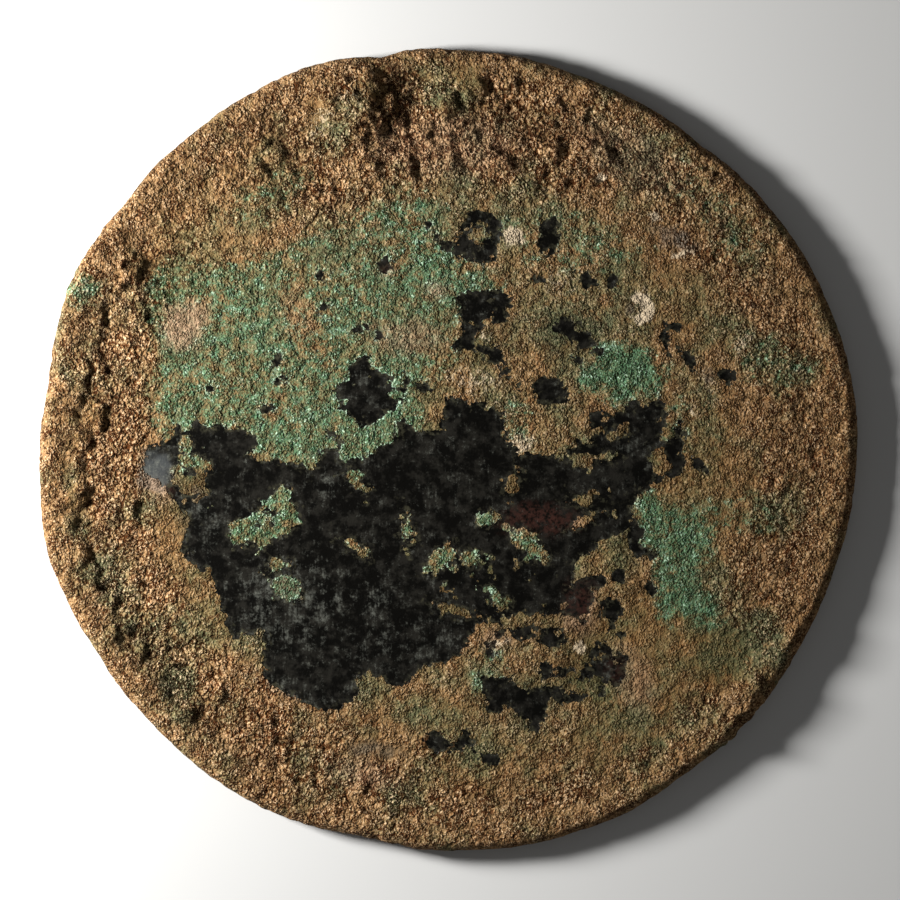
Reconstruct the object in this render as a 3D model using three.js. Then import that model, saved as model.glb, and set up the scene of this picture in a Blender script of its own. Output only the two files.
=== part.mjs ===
// A plain round bronze mirror, cast in one piece and thickly corroded, lying on its back with its face up.
// Millimetres, +Z up; +Y is the top of the face as it is looked down on. The origin is on the surface that
// the mirror lies on, under the middle of its outline.

import * as THREE from "three";

// Sizes of the casting
const MEAN_RADIUS = 80;
const PLATE_THICKNESS = 3.4;
const BORDER_WIDTH = 9; // of the raised band round the back, which the mirror lies on
const BORDER_DEPTH = 0.5; // from the band down to the back's field, where they meet
const BORDER_SLOPE = 1.2; // how wide the step between them is
const BOW = 0.8; // how far the middle of the plate stands above its edge
const FOOT_ROUNDING = 0.8;

// Sizes of the crust on the face
const RIM_WIDTH = 8.5;
const RIM_RISE = 0.6; // of the swollen rim over the field beside it
const RIM_ROUNDING = 2.2;
const RIM_THICKENING = 0.45; // what the thick side of the rim gains, and the thin side loses
const THICK_SIDE = 185; // degrees, where the rim is thickest

// How fine the form is cut
const SEGMENTS = 144;
const ROUNDING_STEPS = 3;
const BACK_STEPS = 3;
const FIELD_RINGS = 12;
const RIM_RINGS = 5;

// The outline's long waves: how many lobes, how high, and the direction of one crest, in degrees
const OUTLINE_WAVES = [
  { lobes: 1, height: 0.5, toward: 170 },
  { lobes: 2, height: 0.9, toward: -13 },
  { lobes: 3, height: 0.25, toward: 6 },
  { lobes: 4, height: 0.4, toward: 19 },
];

// Worn dents and swellings of the edge: where, over how many degrees to each side, and how far out or in
const EDGE_DENTS = [
  { at: 4, spread: 8, rise: 0.35 },
  { at: 50, spread: 3.5, rise: -0.5 },
  { at: 79, spread: 5, rise: 0.3 },
  { at: 100.5, spread: 2.6, rise: -0.95 },
  { at: 112, spread: 5, rise: 0.3 },
  { at: 130, spread: 4, rise: -0.3 },
  { at: 142, spread: 3, rise: -0.55 },
  { at: 155, spread: 6, rise: 0.9 },
  { at: 172.5, spread: 6.5, rise: -0.8 },
  { at: 194, spread: 5.5, rise: 0.8 },
  { at: 210, spread: 4, rise: -0.45 },
  { at: 220, spread: 4, rise: -0.3 },
  { at: 240, spread: 9, rise: 0.5 },
  { at: 258, spread: 5.5, rise: -0.9 },
  { at: 284, spread: 7, rise: 0.3 },
  { at: 296, spread: 5, rise: 0.25 },
  { at: 306, spread: 4, rise: -0.3 },
  { at: 331, spread: 4, rise: -0.25 },
  { at: 341, spread: 4, rise: -0.25 },
];

// Lumps and hollows of the crust. Each is at a bearing in degrees and at a reach, a share of the way from the
// middle to the edge. It falls off over `near` on the side that faces `lee`, over `far` on the other side and
// over `across` sideways, all in millimetres.
const LUMPS = [
  { at: 106, reach: 0.89, lee: -20, near: 9, far: 10, across: 9, rise: 1.3 },
  { at: 94.5, reach: 0.9, lee: 150, near: 2.5, far: 3.5, across: 5, rise: -0.65 },
  { at: 100, reach: 0.8, lee: 160, near: 3, far: 4, across: 5, rise: -0.5 },
  { at: 91, reach: 0.86, lee: -20, near: 3, far: 4, across: 6, rise: 0.5 },
  { at: 85, reach: 0.9, lee: -20, near: 3, far: 4, across: 5, rise: 0.45 },
  { at: 73, reach: 0.84, lee: -10, near: 3, far: 4, across: 6, rise: 0.4 },
  { at: 119, reach: 0.88, lee: 0, near: 4, far: 5, across: 5, rise: -0.45 },
  { at: 149, reach: 0.87, lee: 0, near: 3.5, far: 3.5, across: 6, rise: -0.85 },
  { at: 157, reach: 0.97, lee: 0, near: 4, far: 4, across: 4, rise: 0.35 },
  { at: 162, reach: 0.88, lee: 0, near: 3, far: 3.5, across: 5, rise: -0.6 },
  { at: 176, reach: 0.87, lee: 0, near: 2.5, far: 3, across: 5, rise: -0.55 },
  { at: 188, reach: 0.89, lee: 0, near: 2.5, far: 3, across: 4, rise: -0.5 },
  { at: 202, reach: 0.87, lee: 20, near: 3, far: 4, across: 8, rise: -0.5 },
  { at: 221, reach: 0.87, lee: 40, near: 4, far: 4, across: 9, rise: -0.7 },
  { at: 236, reach: 0.95, lee: 40, near: 3, far: 4, across: 8, rise: 0.35 },
  { at: 318, reach: 0.92, lee: -40, near: 3, far: 5, across: 12, rise: 0.45 },
  { at: 333, reach: 0.95, lee: -30, near: 2, far: 4, across: 5, rise: 0.4 },
  { at: 20, reach: 0.9, lee: 20, near: 4, far: 5, across: 12, rise: 0.35 },
];

const { degToRad, smoothstep } = THREE.MathUtils;
const RIM_FOOT = BORDER_DEPTH + PLATE_THICKNESS; // height of the face where the rim begins
const CROWN = RIM_FOOT + RIM_RISE; // height of the rim

// 1 at no distance, falling smoothly to nothing well past the reach given.
const bell = (distance, reach) => Math.exp(-((distance / reach) ** 2));

// The bow of the plate at a distance from the middle: all of it there, and none where the rim begins.
const bowAt = (radius) => BOW * (1 - (radius / (MEAN_RADIUS - RIM_WIDTH)) ** 2);

// The distance from the middle to the edge in a direction, in radians.
function outlineRadius(bearing) {
  const waves = OUTLINE_WAVES.reduce(
    (sum, wave) => sum + wave.height * Math.cos(wave.lobes * (bearing - degToRad(wave.toward))),
    0,
  );
  const dents = EDGE_DENTS.reduce((sum, dent) => {
    const turn = bearing - degToRad(dent.at);
    const away = Math.atan2(Math.sin(turn), Math.cos(turn));
    return sum + dent.rise * bell(away, degToRad(dent.spread));
  }, 0);
  return MEAN_RADIUS + waves + dents;
}

// How far the crust's lumps and hollows raise the face at a point.
function crustRise(x, y) {
  return LUMPS.reduce((sum, lump) => {
    const bearing = degToRad(lump.at);
    const reach = lump.reach * outlineRadius(bearing);
    const dx = x - reach * Math.cos(bearing);
    const dy = y - reach * Math.sin(bearing);
    const lee = degToRad(lump.lee);
    const along = dx * Math.cos(lee) + dy * Math.sin(lee);
    const sideways = dy * Math.cos(lee) - dx * Math.sin(lee);
    const fall = along > 0 ? lump.near : lump.far;
    return sum + lump.rise * bell(along, fall) * bell(sideways, lump.across);
  }, 0);
}

// A quarter round of a corner, from one angle to another, as [distance from the axis, height] pairs.
function rounding(centre, height, radius, from, to) {
  return Array.from({ length: ROUNDING_STEPS + 1 }, (_, step) => {
    const angle = degToRad(from + ((to - from) * step) / ROUNDING_STEPS);
    return [centre + radius * Math.cos(angle), height + radius * Math.sin(angle)];
  });
}

// The half section of an even, round mirror: along the back from the axis, round the edge and in over the face.
function section() {
  const fieldRadius = MEAN_RADIUS - BORDER_WIDTH;
  const rimRadius = MEAN_RADIUS - RIM_WIDTH;
  const crownRadius = MEAN_RADIUS - RIM_ROUNDING;
  const back = Array.from({ length: BACK_STEPS + 1 }, (_, step) => {
    const radius = (fieldRadius * step) / BACK_STEPS;
    return [radius, BORDER_DEPTH + bowAt(radius) - bowAt(fieldRadius)];
  });
  const border = [[fieldRadius + BORDER_SLOPE, 0]];
  const foot = rounding(MEAN_RADIUS - FOOT_ROUNDING, FOOT_ROUNDING, FOOT_ROUNDING, -90, 0);
  const brow = rounding(crownRadius, CROWN - RIM_ROUNDING, RIM_ROUNDING, 0, 90);
  const rim = Array.from({ length: RIM_RINGS }, (_, ring) => {
    const inward = (ring + 1) / RIM_RINGS;
    const rise = RIM_RISE * smoothstep(1 - inward, 0, 1);
    return [crownRadius + (rimRadius - crownRadius) * inward, RIM_FOOT + rise];
  });
  const field = Array.from({ length: FIELD_RINGS }, (_, ring) => {
    const radius = rimRadius * Math.sqrt(1 - (ring + 1) / FIELD_RINGS); // closer together towards the rough rim
    return [radius, RIM_FOOT + bowAt(radius)];
  });
  return [...back, ...border, ...foot, ...brow, ...rim, ...field].map(([x, y]) => new THREE.Vector2(x, y));
}

// The even mirror with its worn outline, uneven rim and crust.
function mirrorGeometry() {
  const geometry = new THREE.LatheGeometry(section(), SEGMENTS);
  geometry.rotateX(Math.PI / 2);
  const places = geometry.getAttribute("position");
  const backTop = BORDER_DEPTH + BOW;
  for (let i = 0; i < places.count; i += 1) {
    const bearing = Math.atan2(places.getY(i), places.getX(i));
    const stretch = outlineRadius(bearing) / MEAN_RADIUS;
    const x = places.getX(i) * stretch;
    const y = places.getY(i) * stretch;
    const z = places.getZ(i);
    const share = Math.hypot(places.getX(i), places.getY(i)) / MEAN_RADIUS;
    const rimShare = smoothstep(share, 1 - (2 * RIM_WIDTH) / MEAN_RADIUS, 1);
    const thickening = RIM_THICKENING * rimShare * Math.cos(bearing - degToRad(THICK_SIDE));
    const upperShare = smoothstep(z, backTop, RIM_FOOT);
    places.setXYZ(i, x, y, z + upperShare * (crustRise(x, y) + thickening));
  }
  geometry.computeBoundingBox();
  const middle = geometry.boundingBox.getCenter(new THREE.Vector3());
  geometry.translate(-middle.x, -middle.y, 0);
  geometry.computeVertexNormals();
  return geometry;
}

const corrodedBronze = new THREE.MeshStandardMaterial({ color: "#8a6a48", roughness: 0.9, metalness: 0.1 });

const disc = new THREE.Mesh(mirrorGeometry(), corrodedBronze);
disc.name = "mirror_disc";

const mirror = new THREE.Group();
mirror.add(disc);

export default mirror;
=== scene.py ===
"""A plain round bronze mirror, cast in one piece and thickly corroded, lying face up on a pale floor.

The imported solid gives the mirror's outline, the height of its face and the hollow of its back. This script
makes the same disc again as one fine mesh and raises the grain of the corrosion on it. It then paints the
skins of the metal: tan and brown crust, green malachite, pale deposits, and what is left of the black polish.

Lengths are in millimetres, from the middle of the mirror: x to the right and y to the top of its face. Only
the floor and the lights are in metres.
"""

import logging
import math
from dataclasses import dataclass
from enum import Enum

import bpy
import numpy as np
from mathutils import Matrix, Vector, noise
from mathutils.bvhtree import BVHTree


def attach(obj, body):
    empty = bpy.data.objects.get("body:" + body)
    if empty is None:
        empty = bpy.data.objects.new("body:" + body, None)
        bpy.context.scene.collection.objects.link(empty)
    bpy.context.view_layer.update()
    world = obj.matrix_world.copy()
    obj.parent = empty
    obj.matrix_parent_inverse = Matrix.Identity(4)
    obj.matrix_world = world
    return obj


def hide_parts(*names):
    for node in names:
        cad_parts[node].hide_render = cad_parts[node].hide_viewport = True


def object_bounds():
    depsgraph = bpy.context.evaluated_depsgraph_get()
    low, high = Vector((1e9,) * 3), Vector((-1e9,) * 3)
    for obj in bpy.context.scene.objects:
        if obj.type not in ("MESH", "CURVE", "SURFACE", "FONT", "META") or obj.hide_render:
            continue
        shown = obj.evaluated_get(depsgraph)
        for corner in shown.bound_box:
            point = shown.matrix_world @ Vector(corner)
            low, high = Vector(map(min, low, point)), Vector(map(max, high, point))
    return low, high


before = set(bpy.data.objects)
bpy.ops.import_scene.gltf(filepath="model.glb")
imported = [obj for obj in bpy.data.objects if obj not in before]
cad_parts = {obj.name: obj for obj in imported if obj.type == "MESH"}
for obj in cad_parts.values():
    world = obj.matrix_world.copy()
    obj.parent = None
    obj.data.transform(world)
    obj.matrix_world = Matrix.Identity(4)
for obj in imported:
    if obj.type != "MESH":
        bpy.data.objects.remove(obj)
cad_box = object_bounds()

MM = 0.001  # metres in a millimetre
FULL_TURN = 2 * math.pi
ROW_HEIGHT = math.sqrt(3) / 2  # the height of an even triangle with sides of 1
WART_REACH = 0.75  # how far a wart reaches from its middle, as a share of its pattern's size
KNOLL_SCALE = 1.6  # brings the top of a high knoll to about 1
MIX_COLOURS = (6, 7)  # the numbers of a mix node's two colour inputs
MIX_RESULT = 2  # the number of its colour output

Colour = tuple[float, float, float]
Point = tuple[float, float]
Zone = tuple[float, float]
Socket = bpy.types.NodeSocket
Source = Socket | float | Colour

log = logging.getLogger("bronze_mirror")


class Layer(Enum):
    """What each vertex of the mirror carries for its finish, by the name of the mesh's attribute."""

    POLISH = "polish"
    MALACHITE = "malachite"
    OLIVE = "olive"
    DEPOSIT = "deposit"
    CUPRITE = "cuprite"
    BLOOM = "bloom"
    CRUMBS = "crumbs"
    COARSE = "coarse"
    # Patches of dark dirt where the crust is broken; their dark colour lies in creases and hollows, partly
    # real dirt and partly painted shade.
    DIRT_AND_SHADE = "dirt_and_shade"
    HOLLOW = "hollow"
    CALM = "calm"


@dataclass(frozen=True)
class Spot:
    """A rounded patch of the face: its middle, half its length and width, and its turn in degrees."""

    x: float
    y: float
    length: float
    width: float
    turn: float = 0.0
    strength: float = 1.0

    def depth(self, x: np.ndarray, y: np.ndarray) -> np.ndarray:
        """Measures how deep inside the patch each place is.

        Args:
            x: How far to the right each place is.
            y: How far up each place is.

        Returns:
            The distance to the patch's edge, negative outside it.
        """
        turn = math.radians(self.turn)
        along = (x - self.x) * math.cos(turn) + (y - self.y) * math.sin(turn)
        across = (y - self.y) * math.cos(turn) - (x - self.x) * math.sin(turn)
        reach = np.hypot(along / self.length, across / self.width)
        return (1 - reach) * min(self.length, self.width)


@dataclass(frozen=True)
class Patch:
    """A patch of the face with an outline of its own."""

    corners: tuple[Point, ...]
    strength: float = 1.0

    def depth(self, x: np.ndarray, y: np.ndarray) -> np.ndarray:
        """Measures how deep inside the patch each place is.

        Args:
            x: How far to the right each place is.
            y: How far up each place is.

        Returns:
            The distance to the patch's edge, negative outside it.
        """
        nearest = np.full(x.shape, np.inf)
        inside = np.zeros(x.shape, bool)
        for (ax, ay), (bx, by) in zip(self.corners, self.corners[1:] + self.corners[:1]):
            dx = bx - ax
            dy = by - ay
            share = np.clip(((x - ax) * dx + (y - ay) * dy) / (dx * dx + dy * dy), 0, 1)
            nearest = np.minimum(nearest, np.hypot(x - ax - share * dx, y - ay - share * dy))
            if ay != by:
                inside ^= ((ay > y) != (by > y)) & (x < ax + dx * (y - ay) / dy)
        return np.where(inside, nearest, -nearest)


Shape = Spot | Patch


@dataclass(frozen=True)
class Pattern:
    """A random pattern on the mesh: how wide its bumps are, how many finer ones are added, and its shift."""

    size: float
    octaves: int = 1
    shift: float = 0.0

    def grain(self, places: np.ndarray) -> np.ndarray:
        """Works the pattern out as smooth bumps.

        Args:
            places: The points to work it out at, one row each.

        Returns:
            A value for each point, about -1 to 1.
        """
        rows = (places / self.size + self.shift).tolist()
        return np.array([noise.fractal(Vector(row), 1.0, 2.0, self.octaves) for row in rows])

    def knolls(self, places: np.ndarray) -> np.ndarray:
        """Gives rounded knolls with sharp creases between them, 0 in a crease to about 1."""
        return KNOLL_SCALE * np.abs(self.grain(places))

    def warts(self, places: np.ndarray) -> np.ndarray:
        """Works the pattern out as close round warts.

        Args:
            places: The points to work it out at, one row each.

        Returns:
            The height of each point, from 0 between the warts to 1 on top of one.
        """
        rows = (places / self.size + self.shift).tolist()
        away = np.array([noise.voronoi(Vector(row))[0][0] for row in rows])
        return np.sqrt(np.clip(1 - (away / WART_REACH) ** 2, 0, 1))


def ease(value: np.ndarray | float, low: float, high: float) -> np.ndarray:
    """Rises smoothly from 0 at `low` to 1 at `high`."""
    share = np.clip((value - low) / (high - low), 0, 1)
    return share * share * (3 - 2 * share)


EDGE_BAYS = Pattern(3.1, 2, 17.0)
EDGE_TEETH = Pattern(1.4, 1, 5.0)


@dataclass(frozen=True)
class Skin:
    """Where one finish lies on the face: patches, less the islands in them, and what lies on those again.

    Its edge wanders in and out by about `ragged`, and fades over twice its `softness`, both in millimetres.
    """

    layer: Layer
    patches: tuple[Shape, ...]
    islands: tuple[Shape, ...] = ()
    again: tuple[Shape, ...] = ()
    ragged: float = 0.5
    softness: float = 1.0

    def depth(self, places: np.ndarray) -> np.ndarray:
        """Measures how deep inside the skin each point is, with a ragged edge.

        Args:
            places: The points, one row each.

        Returns:
            The distance to the skin's edge, negative outside it.
        """
        x, y = places[:, 0], places[:, 1]
        depth = np.max([shape.depth(x, y) for shape in self.patches], axis=0)
        for island in self.islands:
            depth = np.minimum(depth, -island.depth(x, y))
        for shape in self.again:
            depth = np.maximum(depth, shape.depth(x, y))
        return depth + self._raggedness(places)

    def _raggedness(self, places: np.ndarray) -> np.ndarray:
        """Gives how far the skin's edge is moved out at each point."""
        return self.ragged * (EDGE_BAYS.grain(places) + 0.5 * EDGE_TEETH.grain(places))

    def share(self, places: np.ndarray) -> np.ndarray:
        """Gives how much of the skin each point has, with soft edges.

        Args:
            places: The points, one row each.

        Returns:
            The share, 0 to the strength of the patch.
        """
        x, y = places[:, 0], places[:, 1]
        moved = self._raggedness(places)
        share = np.zeros(len(places))
        for shape in self.patches:
            inside = ease(shape.depth(x, y) + moved, -self.softness, self.softness)
            share = np.maximum(share, shape.strength * inside)
        for island in self.islands:
            share *= 1 - island.strength * ease(island.depth(x, y) + moved, -self.softness, self.softness)
        return share


POLISH = Skin(
    Layer.POLISH,
    patches=(
        # The great patch of polish, which crosses the mirror.
        Patch((
            (-61, -3.5), (-59, 0.5), (-55.5, 2), (-53.5, 5), (-51.5, 3.5), (-49.5, 6), (-48, 4), (-43.5, 5),
            (-41, 3.5), (-37.5, 3), (-37.5, 1.5), (-39.5, -1), (-36, -2), (-29.5, -3), (-28, -4),
            (-26, -2.5), (-26, -1), (-23, 0.5), (-20.5, -2.5), (-17.5, -2), (-15, -0.5), (-12, 1),
            (-9.5, 2.5), (-9.5, 9.5), (-8, 5), (-6, 4), (-2, 4), (-0.5, 10), (3, 10), (6.5, 9.5),
            (11, 7), (11.5, 4.5), (12.5, 0.5), (14.5, -1), (20.5, -1), (22.5, -2), (25.5, 2), (28, 1.5),
            (28, 7), (34.5, 7.5), (35, 10), (38.5, 9), (42, 10.5), (43, 7.5), (42, 1.5), (44, 2),
            (45, 6.5), (47, 6), (46.5, 1.5), (47, -4), (43, -5.5), (39.5, -7.5), (36.5, -10.5),
            (36.5, -14), (38.5, -16.5), (38.5, -19.5), (41, -20.5), (40, -22), (36.5, -21.5),
            (34, -16.5), (30.5, -18), (28, -20), (24.5, -22.5), (25, -24.5), (23.5, -27), (28.5, -25),
            (31, -26), (28, -28), (28, -31.5), (27.5, -35), (23, -32.5), (19.5, -33), (14.5, -32.5),
            (9.5, -34), (5.5, -34.5), (5, -37.5), (-0.5, -42.5), (-4.5, -42.5), (-8, -46.5),
            (-10.5, -47), (-13, -45.5), (-16, -44.5), (-18, -45.5), (-18, -48.5), (-22, -51), (-25, -52),
            (-28, -50.5), (-30, -48.5), (-36.5, -46), (-36.5, -36), (-40, -36.5), (-42.5, -37.5),
            (-44.5, -31), (-47, -27.5), (-47.5, -24), (-49.5, -23.5), (-51.5, -22.5), (-52.5, -18.5),
            (-51.5, -13.5), (-54, -11), (-57, -6.5),
        )),
        # Four smaller patches with outlines of their own.
        Patch((
            (-18.5, 18.5), (-16, 18.5), (-14, 16), (-11.5, 15), (-11, 10), (-10.5, 8), (-13, 6.5),
            (-14, 5), (-17.5, 4.5), (-19.5, 6), (-22, 10), (-22, 11.5), (-20.5, 14),
        )),
        Patch((
            (2, 29.5), (4, 31), (12.5, 31), (12, 27), (10.5, 24.5), (8, 25), (5.5, 23.5), (5, 20.5),
            (8, 21), (10.5, 20), (11.5, 17.5), (10, 16.5), (7.5, 17.5), (5, 19), (0.5, 20), (2.5, 22.5),
            (2, 26),
        )),
        Patch((
            (6.5, -47.5), (6.5, -45), (12.5, -45.5), (17, -47.5), (22, -48), (24, -49), (19, -51.5),
            (19.5, -53), (17.5, -56), (16, -55.5), (15, -53.5), (12.5, -51.5), (10, -52), (8, -52),
        )),
        Patch((
            (-5, 45), (-3.5, 45), (-2, 42), (1.5, 40.5), (2.5, 45), (5, 47.5), (8, 47), (10, 44.5),
            (10.5, 40.5), (9.5, 38), (6, 37), (2, 38), (-2, 40.5),
        )),
        # Round patches at the upper right and the right.
        Spot(20, 42, 3.8, 2.1, 90),
        Spot(27.1, 33.5, 1.9, 1.2, -30),
        Spot(32.5, 32.7, 1.4, 0.8, 70),
        Spot(23.4, 24.5, 2.6, 1.6),
        Spot(26.2, 21.6, 3.6, 2, -25),
        Spot(25.6, 18.3, 2, 1, 100),
        Spot(20.1, 11.5, 3.7, 2.7, -20),
        Spot(43.1, 21.4, 2.1, 0.8, 95),
        Spot(44.9, 24, 0.9, 0.8),
        Spot(47.3, 17.7, 2, 0.8, -60),
        Spot(55.1, 14.7, 1.9, 1.4, -50),
        Spot(49.3, -2.9, 1.6, 0.9, -40),
        # Round patches at the lower right.
        Spot(32.2, -31.7, 2.5, 2.1),
        Spot(32.4, -35, 0.8, 0.6),
        Spot(33.5, -25, 1.2, 1),
        Spot(39.8, -27.7, 1.8, 1, 110),
        Spot(33.9, -36.4, 1, 0.6),
        Spot(15.3, -36, 2.4, 1.6),
        Spot(20.3, -37.2, 2.9, 2.1),
        Spot(10.3, -36.4, 1.4, 0.9, 70),
        Spot(8.3, -39.8, 1.5, 0.9, -45),
        Spot(30.2, -39.8, 2.6, 1.8),
        Spot(33.3, -43.1, 3.5, 1.5, -110),
        Spot(30.6, -46.5, 2.2, 0.8, 80),
        Spot(18.9, -43.1, 1.4, 1.1),
        Spot(20.1, -44.5, 1.1, 0.7),
        Spot(23.1, -44.1, 2, 1.2, -20),
        Spot(26.4, -44.5, 2.4, 1.3),
        Spot(26.9, -48.8, 0.9, 0.3),
        Spot(20.5, -48.4, 6.5, 1.3, -6),
        Spot(30.5, -43, 3.2, 2.2),
        # A few at the bottom.
        Spot(-2.6, -57.9, 2.6, 2),
        Spot(1.8, -58.3, 2.2, 1, 15),
        Spot(4.1, -57.3, 1.5, 0.7, -60),
        Spot(8.3, -60.9, 1.9, 1.1),
        # Small holes in the green zone and round the great patch, where the polish shows.
        Spot(-25.3, 34.4, 1.1, 0.9),
        Spot(-12.8, 36.4, 1.4, 1),
        Spot(-24.1, 25.9, 0.8, 0.7),
        Spot(-24.5, 28.3, 1.2, 0.4, 70),
        Spot(-17.4, 23.8, 0.7, 0.5),
        Spot(-13.8, 22.2, 1.1, 0.7, 20),
        Spot(-34.3, 17.5, 1.2, 0.7, 30),
        Spot(-33, 13.9, 0.6, 0.4),
        Spot(-36.1, 7.6, 0.9, 0.6),
        Spot(-47.5, 12.3, 0.8, 0.8),
        Spot(-22.7, 2.5, 1.2, 0.6, -40),
        Spot(-8.8, 12.7, 1.6, 0.7, 90),
        Spot(-5.3, 12.3, 1.4, 1),
        Spot(11.1, 14.7, 1.7, 0.5, -42),
        Spot(13.6, 12.9, 0.9, 0.6, -50),
        Spot(16.6, 33.7, 0.8, 0.4),
    ),
    islands=(
        # Islands of crust and malachite in the polish.
        Patch((
            (-43.5, -14.5), (-41, -14), (-38, -12), (-36.5, -10), (-34, -9), (-34, -7.5), (-31, -8),
            (-31, -10), (-29.5, -11.5), (-30, -14.5), (-32.5, -16.5), (-37, -19), (-42.5, -19),
            (-44, -16.5),
        )),
        Spot(-51.9, 1.1, 1.9, 1.2, 100),
        Spot(-49.9, -2.5, 3, 1.4, -15),
        Spot(-51, -7, 3.2, 1.8, -20),
        Spot(-53.5, -4.2, 1.6, 0.8),
        Spot(-18.7, -5.4, 2.7, 1.4, -50),
        Spot(-33.3, -23, 1.9, 1.3),
        Spot(-32, -27.3, 3, 2.3, -40),
        Spot(-8.3, -16.1, 3, 1.2, -78),
        Spot(-18.9, -19, 2.5, 0.8, -32),
        Spot(-2, -22, 3.6, 1.7, 40),
        Spot(4.3, -21.4, 2.2, 1.2, -10),
        Spot(7.5, -13.7, 1.9, 1.4),
        Spot(15.6, -18.6, 4.1, 1.7, -40),
        Spot(12.6, -6.4, 1.8, 1.1, 70),
        Spot(26.8, -10, 2, 0.8),
        Spot(27, -13.9, 2.2, 0.8, 25),
        Spot(10.1, -29.9, 2.6, 1, -50),
        Spot(1.2, -31.7, 3, 0.9, -20),
        Spot(33.3, 3.3, 1.5, 0.9),
        Spot(26, -2.1, 1.9, 1.2),
        Spot(31.6, -1.5, 1.2, 0.9),
        Spot(41.5, -2.5, 2.2, 1.5, -60),
        Spot(7.1, 22.6, 1.9, 1.4),
        Spot(6, 42, 1.7, 1.9),
    ),
    again=(
        Spot(-35.2, -12.4, 1, 0.7),
        Spot(-37, -15, 0.9, 0.6),
    ),
    ragged=0.55,
)

MALACHITE = Skin(
    Layer.MALACHITE,
    patches=(
        Patch((
            (-59, 31), (-50, 36), (-37, 37), (-29, 42), (-20, 46), (-10, 49), (-3, 50), (-1, 44),
            (3, 37), (10, 34), (10, 31), (2, 29), (1, 19), (-2, 15), (-10, 11), (-8, 2), (-17, -4),
            (-29, -4), (-39, -1), (-49, 4), (-56, 2), (-59, 6), (-57, 18), (-59, 24),
        ), 0.72),
        Spot(-40, 30, 12, 5.5, -12, 0.75),
        Spot(-55.5, 31, 4, 5, 0, 0.6),
        Spot(-1.8, 34, 9, 5, -40, 1.0),
        Spot(-16, 6, 11, 9, 0, 0.85),
        Spot(-31, 2, 9, 4, -15, 0.8),
        Spot(-52, 9, 6, 5, 0, 0.7),
        Spot(-8, 27, 6, 4, 0, 0.65),
        Spot(-5.5, 48.5, 4, 2, -20, 0.8),
        Spot(34.1, 15.1, 7.5, 5, -5, 1.5),
        Patch((
            (36.5, -10), (38.5, -8), (41, -8.5), (43, -11), (47.5, -11.5), (52, -14), (51.5, -19),
            (49, -23), (49.5, -27), (52.5, -29.5), (53.5, -32.5), (52, -35), (48, -33.5), (43, -33),
            (40.5, -30.5), (41, -27.5), (41, -21), (38.5, -19), (38.5, -14.5),
        ), 1.1),
        Spot(56, -13, 9, 4, 5, 0.35),
        Spot(26.8, 40.3, 5, 3.5, 0, 0.6),
        Spot(6.5, -45.9, 1.5, 1.5, 0, 0.9),
        Spot(8, -42, 3, 3, 0, 0.5),
        Spot(11.5, 3, 4.5, 2.2, -20, 0.55),
        Spot(-36, 50, 9, 4, 30, 0.3),
        Spot(-71.8, 31.9, 3.4, 2.8, 0, 0.8),
        Spot(64, 17, 8, 5, -20, 0.35),
        Spot(57.4, 40.3, 5, 3, 0, 0.3),
        Spot(50, 50, 10, 5, -40, 0.2),
        Spot(22, 42, 16, 6, -10, 0.25),
        Spot(-37, -14, 10, 7, 20, 0.85),
        Spot(-51, -1, 4, 4, 0, 0.5),
        Spot(-32, -26.5, 4, 4.5, 0, 0.8),
        Spot(-8.3, -16.1, 3.6, 2, -78, 0.9),
        Spot(-18.7, -5.4, 3, 2, -50, 0.7),
        Spot(-18.9, -19, 3, 1.6, -32, 0.8),
        Spot(-1, -22, 4.6, 2.6, 40, 1.0),
        Spot(4.3, -21.4, 2.8, 2, -10, 0.9),
        Spot(7.5, -13.7, 2.6, 2.2, 0, 0.9),
        Spot(15.6, -18.6, 4.6, 2.4, -40, 0.9),
        Spot(9, -29, 4, 2.4, -30, 0.55),
        Spot(31.8, 38.8, 1.5, 1, 0, 0.8),
        Spot(13, 6.5, 3, 2, 0, 0.5),
        Spot(45, 5, 2, 4, 0, 0.4),
    ),
    islands=(
        Patch((
            (-55.5, 28.5), (-51, 29), (-47, 28), (-48, 25), (-49.5, 22), (-51.5, 20), (-56, 20.5),
            (-57, 24.5),
        ), 0.85),
        Spot(-5, 22, 6, 4, 0, 0.6),
        Spot(-30, 27, 6, 3, -60, 0.6),
        Spot(-43, 17, 5, 3, 0, 0.4),
        Spot(-22, 38, 14, 5, 15, 0.45),
        Spot(-12, 24, 7, 4, 20, 0.4),
    ),
    ragged=1.6,
    softness=2.4,
)

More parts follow.
